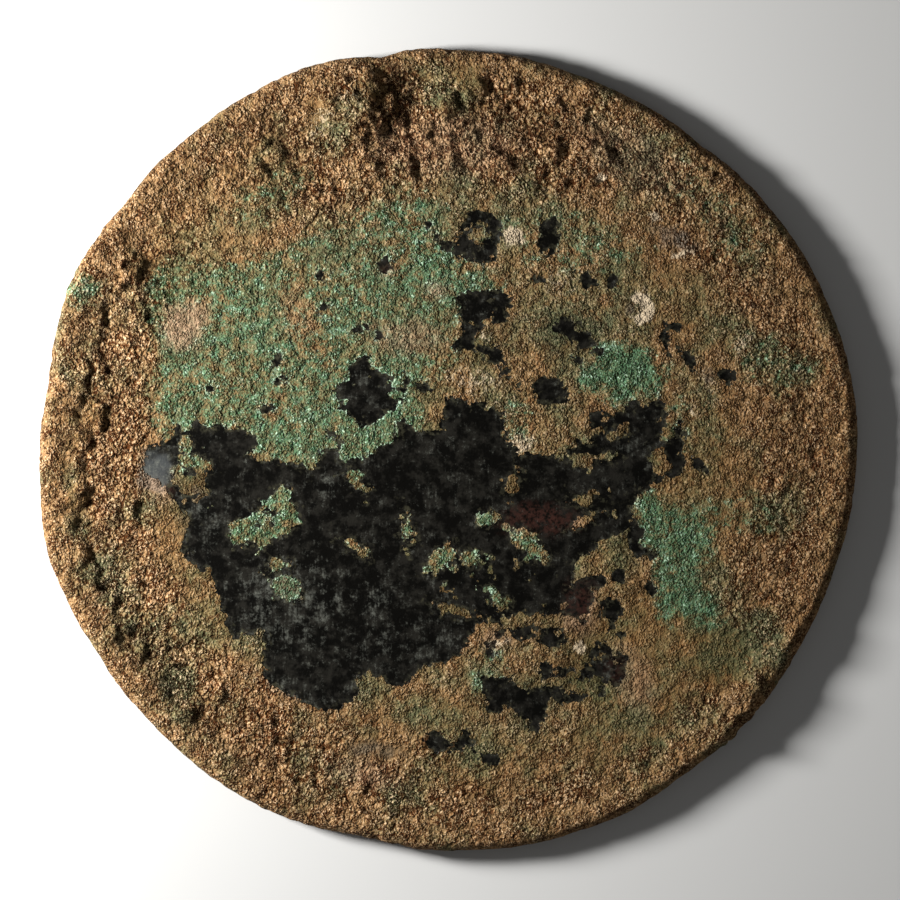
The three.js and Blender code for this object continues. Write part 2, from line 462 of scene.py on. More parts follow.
OLIVE = Skin(
    Layer.OLIVE,
    patches=(
        Spot(56.4, -39.6, 10, 6.5, 20, 1.0),
        Spot(45.6, -54.5, 7, 3, 38, 1.0),
        Spot(37, -58, 6, 2.4, 30, 0.9),
        Spot(20, -58, 22, 8, 10, 0.6),
        Spot(64.3, 16.7, 9, 5, -20, 0.8),
        Spot(61.4, -12.3, 8, 4, 0, 0.6),
        Spot(50, -25, 10, 12, 0, 0.6),
        Spot(57.4, 40.3, 7, 4, -40, 0.7),
        Spot(44, 30, 12, 7, -40, 0.45),
        Spot(-2.4, -69.2, 4, 9, 0, 0.7),
        Spot(-22, -64, 9, 4, -25, 0.7),
        Spot(-5, -52, 12, 6, -10, 0.8),
        Spot(-57, -44, 13, 5, -62, 0.7),
        Spot(-66, -25, 11, 4.5, -75, 0.6),
        Spot(-52, -30, 6, 12, 25, 0.35),
        Spot(-40, 44, 18, 7, 35, 0.55),
        Spot(-29, 57, 9, 5, 40, 0.6),
        Spot(1.5, 71, 5, 3, 0, 0.55),
        Spot(38, 56, 14, 6, -35, 0.6),
        Spot(15, 51, 22, 5, -5, 0.7),
        Spot(24, 0, 10, 6, 0, 0.4),
        Spot(28, 24, 12, 8, 0, 0.5),
        Spot(28, -42, 14, 9, 0, 0.6),
        Patch((
            (-59, 31), (-50, 36), (-37, 37), (-20, 46), (-3, 50), (10, 34), (1, 19), (-10, 11),
            (-8, 2), (-17, -4), (-39, -1), (-56, 2), (-57, 18),
        ), 0.7),
    ),
    ragged=2.4,
    softness=4.5,
)

DEPOSIT = Skin(
    Layer.DEPOSIT,
    patches=(
        Spot(13, 41.7, 2.1, 2.5, 90, 1.0),
        Spot(37.7, 27.9, 3.1, 2.7, 90, 1.3),
        Spot(5.1, 13.7, 6, 2.4, -8, 0.5),
        Spot(7.1, 22.6, 1.7, 1.2, 0, 0.55),
        Spot(40.6, 46.3, 1.1, 0.9),
        Spot(45.6, 38.4, 2.2, 0.7, 15, 0.8),
        Spot(30.2, 53.6, 0.9, 0.9),
        Spot(14.6, 1.1, 2.4, 2, 0, 0.75),
        Spot(22, 33, 4, 3, 0, 0.4),
        Spot(25.8, -39.2, 1.6, 1.4, 0, 0.8),
        Spot(9.1, -38.6, 2.4, 1, 20, 0.9),
        Spot(47.9, 7.4, 0.9, 1.2, 0, 0.7),
        Spot(58.4, 20.6, 3, 1.2, 50, 0.65),
        Spot(51, 13, 4, 1, -60, 0.5),
        Spot(-25.5, 64, 4.2, 2.4, 60, 0.4),
        Spot(-20, 69, 3, 2, 0, 0.35),
        Spot(-71.8, 31.9, 2.4, 2, 0, 0.35),
        Spot(6, 9, 8, 3, -10, 0.3),
    ),
    islands=(Spot(36.5, 27.9, 1.9, 1.6),),
    ragged=0.7,
    softness=1.0,
)

CUPRITE = Skin(
    Layer.CUPRITE,
    patches=(
        Patch((
            (-55.5, 28.5), (-51, 29), (-47, 28), (-48, 25), (-49.5, 22), (-51.5, 20), (-56, 20.5),
            (-57, 24.5),
        ), 0.8),
        Spot(18, -13.9, 6.5, 2.4, -3, 0.9),
        Spot(25.8, -31.1, 3, 4.8, 0, 0.7),
        Spot(-12, 35, 1.1, 0.9),
        Spot(-2.4, 31.3, 1.4, 1.1),
        Spot(36, -45, 7, 4, -60, 0.4),
        Spot(-17, -64, 6, 2.5, -10, 0.45),
        Spot(9, -37.6, 2.4, 1.4, 0, 0.6),
        Spot(-57, -8, 3, 3, 0, 0.5),
        Spot(-30, 27, 6, 3, -60, 0.15),
        Spot(36, 58, 12, 5, -30, 0.3),
        Spot(0, 60, 14, 6, 0, 0.3),
        Spot(-8, 22, 7, 3, 0, 0.45),
    ),
    ragged=0.9,
    softness=1.8,
)

# Smoother zones of the crust. The material also darkens them a little, as painted shade in place of the
# self-shadowing of rough crust.
CALM = Skin(
    Layer.CALM,
    patches=(
        Spot(-46, 46, 24, 8, 42, 0.5),
        Spot(-53, 14, 24, 6, 85, 0.4),
        Spot(-51, -22, 18, 5, -72, 0.6),
        Spot(-52, 25.5, 4.5, 4.5, 0, 0.8),
        Spot(38, -40, 17, 11, 25, 0.8),
        Spot(53, -41, 8, 6, 45, 1.0),
        Spot(49, -8, 12, 16, 0, 0.55),
        Spot(44, 30, 13, 8, -35, 0.4),
        Spot(-4, -52.5, 12, 5, 0, 0.4),
        Spot(-70, 6, 3.8, 2.8, 80, 0.7),
        Spot(-73.5, -10, 3.5, 2.4, 80, 0.7),
        Spot(-75, 0, 4, 2, 85, 0.5),
        Spot(4, 73.5, 2.8, 2.4, 0, 0.8),
        Spot(0, 68, 2.8, 2.4, 0, 0.7),
        Spot(-5, 64, 2.4, 2, 0, 0.7),
        Spot(-14, 71, 3, 2.4, 0, 0.6),
        Spot(-26, 66, 4, 3, 60, 0.7),
        Spot(-15.6, -59.3, 6, 2.5, -10, 0.8),
        Spot(36, -53.5, 15, 6.5, 33, 0.75),
        Spot(11, -62, 17, 6, 8, 0.5),
        Spot(-10, -14, 46, 22, -10, 0.5),
        Spot(-25, 20, 34, 20, -10, 0.45),
    ),
    ragged=2.0,
    softness=2.2,
)

BLOOM = Skin(
    Layer.BLOOM,
    patches=(
        Spot(36.3, 27.9, 2, 1.7, 0, 1.0),
        Spot(44.6, 41.5, 5.5, 2.6, -25, 0.9),
        Spot(-58, -4, 4, 5, 10, 1.15),
        Spot(-32, -47.5, 6, 1.6, -22, 0.9),
        Spot(-15.6, -59.3, 5.5, 2, -10, 0.9),
        Spot(51.3, 14.1, 2.6, 1.2, 80, 1.0),
        Spot(-31, -31, 11, 9, 0, 0.75),
        Spot(-13.6, -29.7, 7, 3.5, 0, 0.7),
        Spot(-8, -38, 12, 5, 10, 0.55),
        Spot(34.7, 0.9, 5.5, 1.6, -40, 0.55),
        Spot(-50, -14, 5, 8, 0, 0.6),
        Spot(33, -43, 4, 4, 0, 0.3),
        Spot(-25.5, -0.5, 6, 2.5, 0, 0.6),
        Spot(-24, -6, 4, 2, 0, 0.6),
        Spot(38, -16, 4, 6, 0, 0.2),
        Spot(-16, 12, 5, 7, 0, 0.35),
        Spot(8, 27, 4, 3, 0, 0.25),
        Spot(6, 42, 4, 4, 0, 0.3),
    ),
    ragged=1.4,
    softness=2.8,
)

CRUMBS = Skin(
    Layer.CRUMBS,
    patches=(
        Spot(30, -5, 9, 6, 0, 0.3),
        Spot(35, 4, 8, 4, 0, 0.4),
        Spot(44, 1, 3, 6, 0, 0.35),
        Spot(36, -15, 4, 7, 0, 0.55),
        Spot(9, -27, 12, 6, 10, 0.6),
        Spot(-50, -9, 5, 8, 0, 0.6),
        Spot(-40, -24, 8, 6, 0, 0.35),
        Spot(-20, -8, 9, 5, 0, 0.35),
        Spot(-16, 12, 5, 6, 0, 0.4),
        Spot(5, 5, 8, 4, 0, 0.4),
        Spot(12, -10, 5, 7, 0, 0.3),
        Spot(15, -50, 8, 4, 0, 0.45),
        Spot(27, -42, 6, 6, 0, 0.5),
        Spot(22, -33, 10, 4, 0, 0.45),
        Spot(6, 42, 4, 4, 0, 0.55),
        Spot(8, 24, 5, 7, 0, 0.35),
        Spot(24, 22, 6, 5, 0, 0.5),
    ),
    ragged=1.2,
    softness=2.5,
)

# Patches of dark dirt where the crust is broken. The material lays their dark colour only in creases and
# hollows, so it is partly real dirt and partly painted shade.
DIRT_AND_SHADE = Skin(
    Layer.DIRT_AND_SHADE,
    patches=(
        Spot(-65, -20, 15, 3, -76, 0.7),
        Spot(-57, -42, 14, 3.5, -58, 0.9),
        Spot(-62, 30, 9, 3, 58, 1.0),
        Spot(-67, 6, 16, 2.4, 88, 0.8),
        Spot(-36, 57, 10, 5, 45, 0.8),
        Spot(-26, 48, 10, 4, -50, 0.7),
        Spot(-12, 65, 9, 4, 70, 1.0),
        Spot(2, 66, 7, 8, 0, 0.9),
        Spot(14, 60, 8, 7, 0, 0.7),
        Spot(28, 58, 9, 6, -20, 0.5),
        Spot(52, 46, 8, 4, -50, 0.5),
        Spot(55, -38, 4, 3, 0, 0.5),
        Spot(62, 28, 5, 12, 10, 0.4),
        Spot(62, -45, 12, 3, 50, 0.5),
        Spot(53, -51, 9, 2.6, 45, 0.7),
    ),
    ragged=2.5,
    softness=2.5,
)


# Broad swellings and valleys of the crust, with gentle slopes.
BROAD_FEATURES = (
    Spot(-19, 67, 7, 5, -70, 0.8),
    Spot(-9, 68.5, 7.5, 3, -75, -0.8),
    Spot(1, 67, 8, 3.5, -75, 0.4),
    Spot(-31, 60, 5, 2.5, -50, -0.5),
    Spot(12, 66, 6, 2.5, -75, -0.3),
    Spot(-62, 33, 5, 3.5, 70, 0.5),
    Spot(-56, 33, 5, 2.5, 80, -0.5),
    Spot(58, -50, 9, 2.5, 45, 0.4),
    Spot(52, -46, 9, 2.5, 45, -0.3),
)


# Single lumps and pits of the crust. The strength of each is its rise in millimetres, less than 0 for a pit.
FEATURES = (
    # The mound at the top, and the pits on it and at its left.
    Spot(-15, 70, 5.2, 4, -60, 0.5),
    Spot(-6, 71.5, 2.6, 1.2, 75, -0.2),
    Spot(-11, 63.5, 1.8, 1.2, 20, -0.3),
    Spot(-15.5, 61.5, 1.2, 1, 0, -0.2),
    Spot(-14, 58.5, 1.2, 0.6, 20, -0.15),
    Spot(-19.5, 64.5, 1.2, 0.6, 80, -0.15),
    Spot(-21.5, 61, 1.2, 0.8, 60, -0.2),
    Spot(-25, 58, 1.2, 0.6, 80, -0.15),
    Spot(-22.5, 57.5, 1, 0.6, -20, -0.15),
    Spot(-24, 55, 1.4, 0.6, 85, -0.15),
    Spot(-24, 50.5, 1.2, 1, 30, -0.2),
    Spot(-35.5, 62, 1.8, 1, 80, -0.3),
    Spot(-38, 65, 1.4, 0.8, 70, -0.2),
    Spot(-31, 63.5, 1.2, 0.8, 10, -0.15),
    Spot(-31, 68, 1.8, 0.4, -60, -0.15),
    Spot(-32, 56.5, 1.2, 0.8, -50, -0.2),
    Spot(-31.5, 53, 2.2, 0.8, -60, -0.2),
    # The lumps and pits at its right.
    Spot(-0.5, 68, 2.4, 2.2, 0, 0.5),
    Spot(2, 67.5, 2.2, 0.6, 85, -0.1),
    Spot(-5, 63.5, 2, 1.8, 0, 0.7),
    Spot(-3, 64.5, 1.6, 0.6, 80, -0.2),
    Spot(4, 73.5, 2.2, 1.8, 0, 0.3),
    Spot(4, 70, 1.4, 1.2, 0, 0.4),
    Spot(3.5, 65, 1.4, 0.4, 80, -0.15),
    Spot(5.5, 67.5, 1.4, 0.4, 80, -0.15),
    Spot(7, 65, 1.8, 0.4, 80, -0.15),
    Spot(8.5, 60.5, 1.4, 0.4, 80, -0.15),
    Spot(12.5, 58, 1.6, 1, -10, -0.2),
    Spot(19.5, 60.5, 1.8, 1.2, 60, -0.2),
    Spot(22.5, 67, 2.2, 0.8, 80, -0.2),
    Spot(-6, 55, 2.2, 0.6, 85, -0.1),
    Spot(33.5, 53, 1.6, 0.8, 60, -0.15),
    Spot(43.5, 60, 1.8, 0.6, 85, -0.15),
    Spot(51, 56.5, 1.4, 0.6, 80, -0.15),
    Spot(51.5, 54, 1.6, 1.4, 0, 0.65),
    Spot(59, 44.5, 1.6, 1.2, 0, -0.4),
    # The broken crust inside the rim at the left.
    Spot(-62.5, 35.5, 3, 2.2, 80, 0.9),
    Spot(-59, 35, 1.6, 0.6, -40, -0.25),
    Spot(-57.5, 33, 1.8, 0.6, 80, -0.4),
    Spot(-60.5, 31, 3, 0.6, 85, -0.3),
    Spot(-59, 30.5, 2.1, 0.6, 80, -0.3),
    Spot(-62.5, 28, 1.4, 0.8, 60, -0.2),
    Spot(-65.5, 27.5, 1.4, 0.8, 60, -0.2),
    Spot(-67.5, 24.5, 2.3, 0.6, 85, -0.3),
    Spot(-68, 20, 3.2, 0.8, -80, -0.25),
    Spot(-70, 15, 2.5, 0.6, 85, -0.25),
    Spot(-70.5, 11.5, 1.8, 0.6, 80, -0.25),
    Spot(-70, 7, 2.8, 2.2, 80, 0.9),
    Spot(-68.5, 7, 2.1, 0.6, 85, -0.3),
    Spot(-67.5, 4.5, 2.1, 0.6, 70, -0.4),
    Spot(-69.5, 2.5, 1.8, 0.6, 30, -0.25),
    Spot(-71.5, -1.5, 2.3, 0.6, 85, -0.2),
    Spot(-73, -9, 2.6, 2, 80, 0.85),
    Spot(-70.5, -10, 2.5, 0.6, 85, -0.3),
    Spot(-73, -14.5, 2.1, 0.6, -75, -0.2),
    Spot(-71, -17.5, 1.8, 0.6, 80, -0.2),
    Spot(-71, -20.5, 1.1, 0.8, 0, -0.2),
    Spot(-73, 29.5, 1.4, 0.6, 0, -0.2),
    Spot(-60.5, -15, 1.8, 0.6, 20, -0.2),
    Spot(-63, -11.5, 1.8, 1.4, 80, 0.65),
    Spot(-69, -24, 1.4, 0.8, 0, -0.2),
    Spot(-67.5, -27.5, 1.8, 0.8, 80, -0.25),
    Spot(-62, -25.5, 2.6, 1.2, -10, 0.7),
    Spot(-64.5, -36, 1.6, 0.6, -70, -0.2),
    Spot(-62.5, -39.5, 2.1, 0.6, -70, -0.25),
    Spot(-61.5, -42, 1.6, 0.6, -60, -0.25),
    Spot(-58, -43, 1.6, 0.6, -30, -0.2),
    Spot(-56.5, -38.5, 1, 1, 0, 0.7),
    Spot(-55, -42.5, 1, 1, 0, 0.7),
    Spot(-54.5, -46.5, 2.3, 0.8, -30, -0.2),
    Spot(-50.5, -51, 2.3, 1, -45, -0.2),
    Spot(-52.5, -52.5, 2, 1.4, 0, 0.7),
    Spot(-45.5, -48.5, 1.6, 0.8, 80, 0.7),
    # The rim at the right and the lower right.
    Spot(65, 39.5, 2.6, 0.6, 85, -0.45),
    Spot(64.5, 34, 1.4, 0.4, 80, -0.3),
    Spot(60, 31.5, 1.2, 0.6, 80, -0.3),
    Spot(73, 20, 1.2, 0.6, 0, -0.3),
    Spot(70, -31.5, 1.4, 0.8, 70, -0.4),
    Spot(59, -39.5, 1.8, 0.4, 85, -0.3),
    Spot(56.5, -44, 2.4, 0.6, 60, -0.35),
    Spot(53.5, -47.5, 2.6, 0.6, 65, -0.35),
    Spot(50, -50.5, 2.8, 0.6, 60, -0.35),
    Spot(55.5, -50.5, 2.2, 0.6, 70, -0.3),
    Spot(51.5, -54.5, 2.4, 0.6, 60, -0.35),
    Spot(45.5, -59, 2.2, 0.6, 55, -0.3),
    Spot(40, -63, 2, 0.6, 50, -0.25),
    Spot(59.5, -47.5, 2.8, 1.8, 45, 0.7),
    Spot(54, -56.5, 2, 1.4, 30, 0.7),
    Spot(67.5, -37.5, 3.6, 1, 55, 0.65),
    Spot(58, -52, 3.6, 1, 45, 0.65),
    # Smaller lumps beside the broken crust at the left.
    Spot(-68.5, 26, 2, 1.2, 85, 0.3),
    Spot(-70.5, 20.5, 2, 1, 80, 0.25),
    Spot(-72.3, 14, 3, 1.2, 85, 0.4),
    Spot(-66, 30.5, 1.6, 1.2, 80, 0.3),
    Spot(-61, 26.5, 2, 1.4, 70, 0.5),
    Spot(-63.5, 21, 1.6, 1.2, 60, 0.4),
    Spot(-72.5, 2, 2.2, 1.6, 80, 0.5),
    Spot(-75, -14.5, 2, 1.4, 80, 0.45),
    Spot(-72.5, -21, 1.8, 1.2, 70, 0.45),
    Spot(-70.5, -26.5, 1.8, 1.2, 70, 0.45),
    Spot(-66.5, -37, 2, 1.2, -60, 0.6),
    Spot(-60, -46, 1.8, 1.2, -50, 0.55),
    Spot(-51, -18, 2, 1.4, 30, 0.4),
    Spot(-58, -21, 2.4, 1.6, 10, 0.45),
)


@dataclass
class SolidForm:
    """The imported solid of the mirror, read as its outline and the heights of its face and back.

    The readings lie at even bearings and at even shares of the way from the middle to the edge.
    """

    node: bpy.types.Object
    bearings: int = 144
    reaches: int = 56
    wall_height: float = 1.6
    last_reach: float = 0.972
    clear: float = 200.0

    def __post_init__(self) -> None:
        """Takes all the readings."""
        mesh = self.node.data
        vertices = [vertex.co.copy() / MM for vertex in mesh.vertices]
        self.tree = BVHTree.FromPolygons(vertices, [tuple(face.vertices) for face in mesh.polygons])
        self.outline = self._read_outline()
        self.top = self._read_heights(Vector((0, 0, -1)))
        self.underside = self._read_heights(Vector((0, 0, 1)))

    def _directions(self) -> list[Point]:
        """Gives the flat direction of each bearing."""
        turns = [FULL_TURN * step / self.bearings for step in range(self.bearings)]
        return [(math.cos(turn), math.sin(turn)) for turn in turns]

    def _read_outline(self) -> np.ndarray:
        """Reads the outline, with rays from outside to the middle.

        Returns:
            The distance from the middle to the edge at each bearing.
        """
        distances = []
        for across, up in self._directions():
            start = Vector((across * self.clear, up * self.clear, self.wall_height))
            place, _, _, _ = self.tree.ray_cast(start, Vector((-across, -up, 0)))
            distances.append(math.hypot(place.x, place.y))
        return np.array(distances)

    def _read_heights(self, look: Vector) -> np.ndarray:
        """Reads the height of one side of the solid.

        Args:
            look: The direction to look along, up or down.

        Returns:
            One row of heights for each bearing.
        """
        rows = []
        for (across, up), edge in zip(self._directions(), self.outline):
            row = []
            for step in range(self.reaches):
                distance = edge * self.last_reach * step / (self.reaches - 1)
                start = Vector((across * distance, up * distance, -look.z * self.clear))
                place, _, _, _ = self.tree.ray_cast(start, look)
                row.append(place.z)
            rows.append(row)
        return np.array(rows)

    @staticmethod
    def _weights(share: np.ndarray) -> list[np.ndarray]:
        """Weighs four readings in a row, for a smooth curve through the middle two.

        Args:
            share: How far each place is from the second reading to the third, 0 to 1.

        Returns:
            The weights of the four readings.
        """
        return [
            share * (-0.5 + share * (1 - 0.5 * share)),
            1 + share * share * (-2.5 + 1.5 * share),
            share * (0.5 + share * (2 - 1.5 * share)),
            share * share * (-0.5 + 0.5 * share),
        ]

    def edge(self, bearing: np.ndarray) -> np.ndarray:
        """Works out where the edge is.

        Args:
            bearing: The direction of each place, in radians.

        Returns:
            The distance from the middle to the edge there.
        """
        turn = bearing / FULL_TURN * self.bearings
        first = np.floor(turn).astype(int)
        total = np.zeros(bearing.shape)
        for step, weight in enumerate(self._weights(turn - first)):
            total += weight * self.outline[(first + step - 1) % self.bearings]
        return total

    def height(self, table: np.ndarray, bearing: np.ndarray, reach: np.ndarray) -> np.ndarray:
        """Works out the height of one side.

        Args:
            table: The readings of that side.
            bearing: The direction of each place, in radians.
            reach: The share of the way to the edge of each place.

        Returns:
            The height of each place.
        """
        turn = bearing / FULL_TURN * self.bearings
        row = np.floor(turn).astype(int)
        way = np.clip(reach / self.last_reach, 0, 1) * (self.reaches - 1)
        column = np.minimum(np.floor(way).astype(int), self.reaches - 2)
        across = self._weights(turn - row)
        outward = self._weights(way - column)
        total = np.zeros(bearing.shape)
        for a, row_weight in enumerate(across):
            for b, column_weight in enumerate(outward):
                columns = np.clip(column + b - 1, 0, self.reaches - 1)
                total += row_weight * column_weight * table[(row + a - 1) % self.bearings, columns]
        return total


@dataclass
class Relief:
    """The corrosion's relief, added to the form of the solid.

    A rise is in millimetres. A zone is given by where it begins and where it is full, as shares of the radius
    or, where its name says so, in millimetres.
    """

    radius: float = 80.0
    swell: Pattern = Pattern(10.0, 2)
    swell_rise: float = 0.22
    fine_swell: float = 0.3
    crags: Pattern = Pattern(7.0, 4, 11.0)
    crag_rise: float = 0.7
    crag_level: float = 0.45
    dirt_crags: float = 0.6
    warts: Pattern = Pattern(2.4, 1, 3.0)
    wart_rise: float = 0.5
    rough: Pattern = Pattern(1.7, 3, 31.0)
    rough_rise: float = 0.24
    fine_rough: float = 0.25

    coarse_ring: Zone = (0.66, 0.82)
    ring_edge: Pattern = Pattern(7.0, 2, 41.0)
    ring_wander: float = 0.02
    calm_rim: Zone = (0.89, 0.93)
    rim_calm: float = 0.5
    right_millimetres: Zone = (-30.0, 30.0)
    right_calm: float = 0.28
    patches: Pattern = Pattern(6.0, 2, 3.0)
    patch_level: float = 0.8
    patch_spread: float = 0.55
    top: tuple[Spot, ...] = (Spot(-20, 60, 24, 13, 22), Spot(14, 62, 24, 12, -10))
    top_softness: float = 4.0

    bend_across: Pattern = Pattern(2.0, 2, 51.0)
    bend_up: Pattern = Pattern(2.0, 2, 57.0)
    bend: float = 1.1
    feature_margin: float = 2.0
    feature_slope: float = 0.65
    broad_slope: float = 3.2
    pebbles: Pattern = Pattern(1.7, 1, 5.0)
    pit_depth: float = 1.25
    pit_pebbles: float = 0.85
    features: tuple[Spot, ...] = FEATURES
    broad_features: tuple[Spot, ...] = BROAD_FEATURES

    step_rise: float = 0.42
    step_zone: Zone = (0.905, 0.917)
    step_edge: Pattern = Pattern(5.0, 3, 61.0)
    step_wander: float = 0.03
    step_left_millimetres: Zone = (10.0, 50.0)
    step_slant: float = 0.5
    step_patches: Pattern = Pattern(9.0, 1, 67.0)
    step_level: float = 0.8
    step_spread: float = 0.6

    polish_depth: float = 0.14
    polish_waves: Pattern = Pattern(6.0, 2, 23.0)
    polish_wave: float = 0.02
    polish_step: float = 0.4

    def _reach(self, places: np.ndarray, edge: Pattern, wander: float) -> np.ndarray:
        """Gives the share of the radius that each point is out at, moved about by a pattern."""
        return np.hypot(places[:, 0], places[:, 1]) / self.radius + wander * edge.grain(places)

    def coarseness(self, places: np.ndarray) -> np.ndarray:
        """Works out how coarse the crust is: most at the top and in a ring inside the rim.

        Args:
            places: The points, one row each.

        Returns:
            The coarseness of each point, 0 to 1.
        """
        reach = self._reach(places, self.ring_edge, self.ring_wander)
        ring = ease(reach, *self.coarse_ring) * (1 - self.rim_calm * ease(reach, *self.calm_rim))
        ring *= 1 - self.right_calm * ease(places[:, 0], *self.right_millimetres)
        patchy = self.patch_level + self.patch_spread * self.patches.grain(places)
        return np.clip(np.maximum(ring, self.topness(places)) * patchy, 0, 1)

    def topness(self, places: np.ndarray) -> np.ndarray:
        """Gives how far each point is in the craggy zone at the top, 0 to 1."""
        depth = np.max([spot.depth(places[:, 0], places[:, 1]) for spot in self.top], axis=0)
        return ease(depth, -self.top_softness, self.top_softness)

    def single_features(self, places: np.ndarray) -> np.ndarray:
        """Works out the rise of the single lumps and pits and of the broad swellings.

        Args:
            places: The points, one row each.

        Returns:
            The rise of each point.
        """
        x = places[:, 0] + self.bend * self.bend_across.grain(places)
        y = places[:, 1] + self.bend * self.bend_up.grain(places)
        rise = np.zeros(len(places))
        sunk = np.zeros(len(places))
        for spot in self.features:
            near = np.hypot(x - spot.x, y - spot.y) < spot.length + self.feature_margin
            share = ease(spot.depth(x[near], y[near]), -self.feature_slope, self.feature_slope)
            if spot.strength > 0:
                rise[near] += spot.strength * share
            else:
                sunk[near] = np.maximum(sunk[near], -spot.strength * share)
        for spot in self.broad_features:
            rise += spot.strength * ease(spot.depth(x, y), -self.broad_slope, self.broad_slope)
        return rise - sunk * (self.pit_depth - self.pit_pebbles * self.pebbles.warts(places))

    def inner_step(self, places: np.ndarray) -> np.ndarray:
        """Works out the broken step at the left, between the rim's band and the field.

        Args:
            places: The points, one row each.

        Returns:
            The rise of each point: above 0 on the band and below it on the field.
        """
        reach = self._reach(places, self.step_edge, self.step_wander)
        leftness = ease(-places[:, 0] - self.step_slant * places[:, 1], *self.step_left_millimetres)
        patchy = self.step_level + self.step_spread * self.step_patches.grain(places)
        return self.step_rise * leftness * patchy * (ease(reach, *self.step_zone) - 0.5)

    def crust(self, places: np.ndarray, coarse: np.ndarray, dirt_and_shade: np.ndarray) -> np.ndarray:
        """Works out the rise of the bare crust.

        Args:
            places: The points, one row each.
            coarse: How coarse the crust is there.
            dirt_and_shade: How much of the dark dirt lies there, which is where the crust is broken; its
                colour there is partly painted shade.

        Returns:
            The rise of each point, about 0 on average.
        """
        craggy = np.maximum(self.topness(places), self.dirt_crags * dirt_and_shade)
        swell = self.fine_swell + (1 - self.fine_swell) * coarse
        rough = self.fine_rough + (1 - self.fine_rough) * coarse
        rise = self.swell_rise * swell * self.swell.grain(places)
        rise += self.crag_rise * craggy * (self.crags.knolls(places) - self.crag_level)
        rise += self.wart_rise * coarse * (self.warts.warts(places) - 0.5)
        rise += self.rough_rise * rough * self.rough.grain(places)
        return rise + self.single_features(places) + self.inner_step(places)

    def rise(self, places: np.ndarray, crust: np.ndarray, polish: np.ndarray) -> np.ndarray:
        """Works out how far each point is raised.

        Args:
            places: The points, one row each.
            crust: The rise of the bare crust there.
            polish: How deep inside the black polish each point is.

        Returns:
            The rise of each point along the surface's normal.
        """
        polished = ease(polish, -self.polish_step, self.polish_step)
        smooth = self.polish_wave * self.polish_waves.grain(places) - self.polish_depth
        return crust * (1 - polished) + smooth * polished


@dataclass
class Ring:
    """One closed row of the fine mesh, and where its points lie before any relief.

    Its side is 1 on the face, falls to 0 down the edge, and is -1 on the back.
    """

    bearing: np.ndarray
    place: np.ndarray
    normal: np.ndarray
    side: float


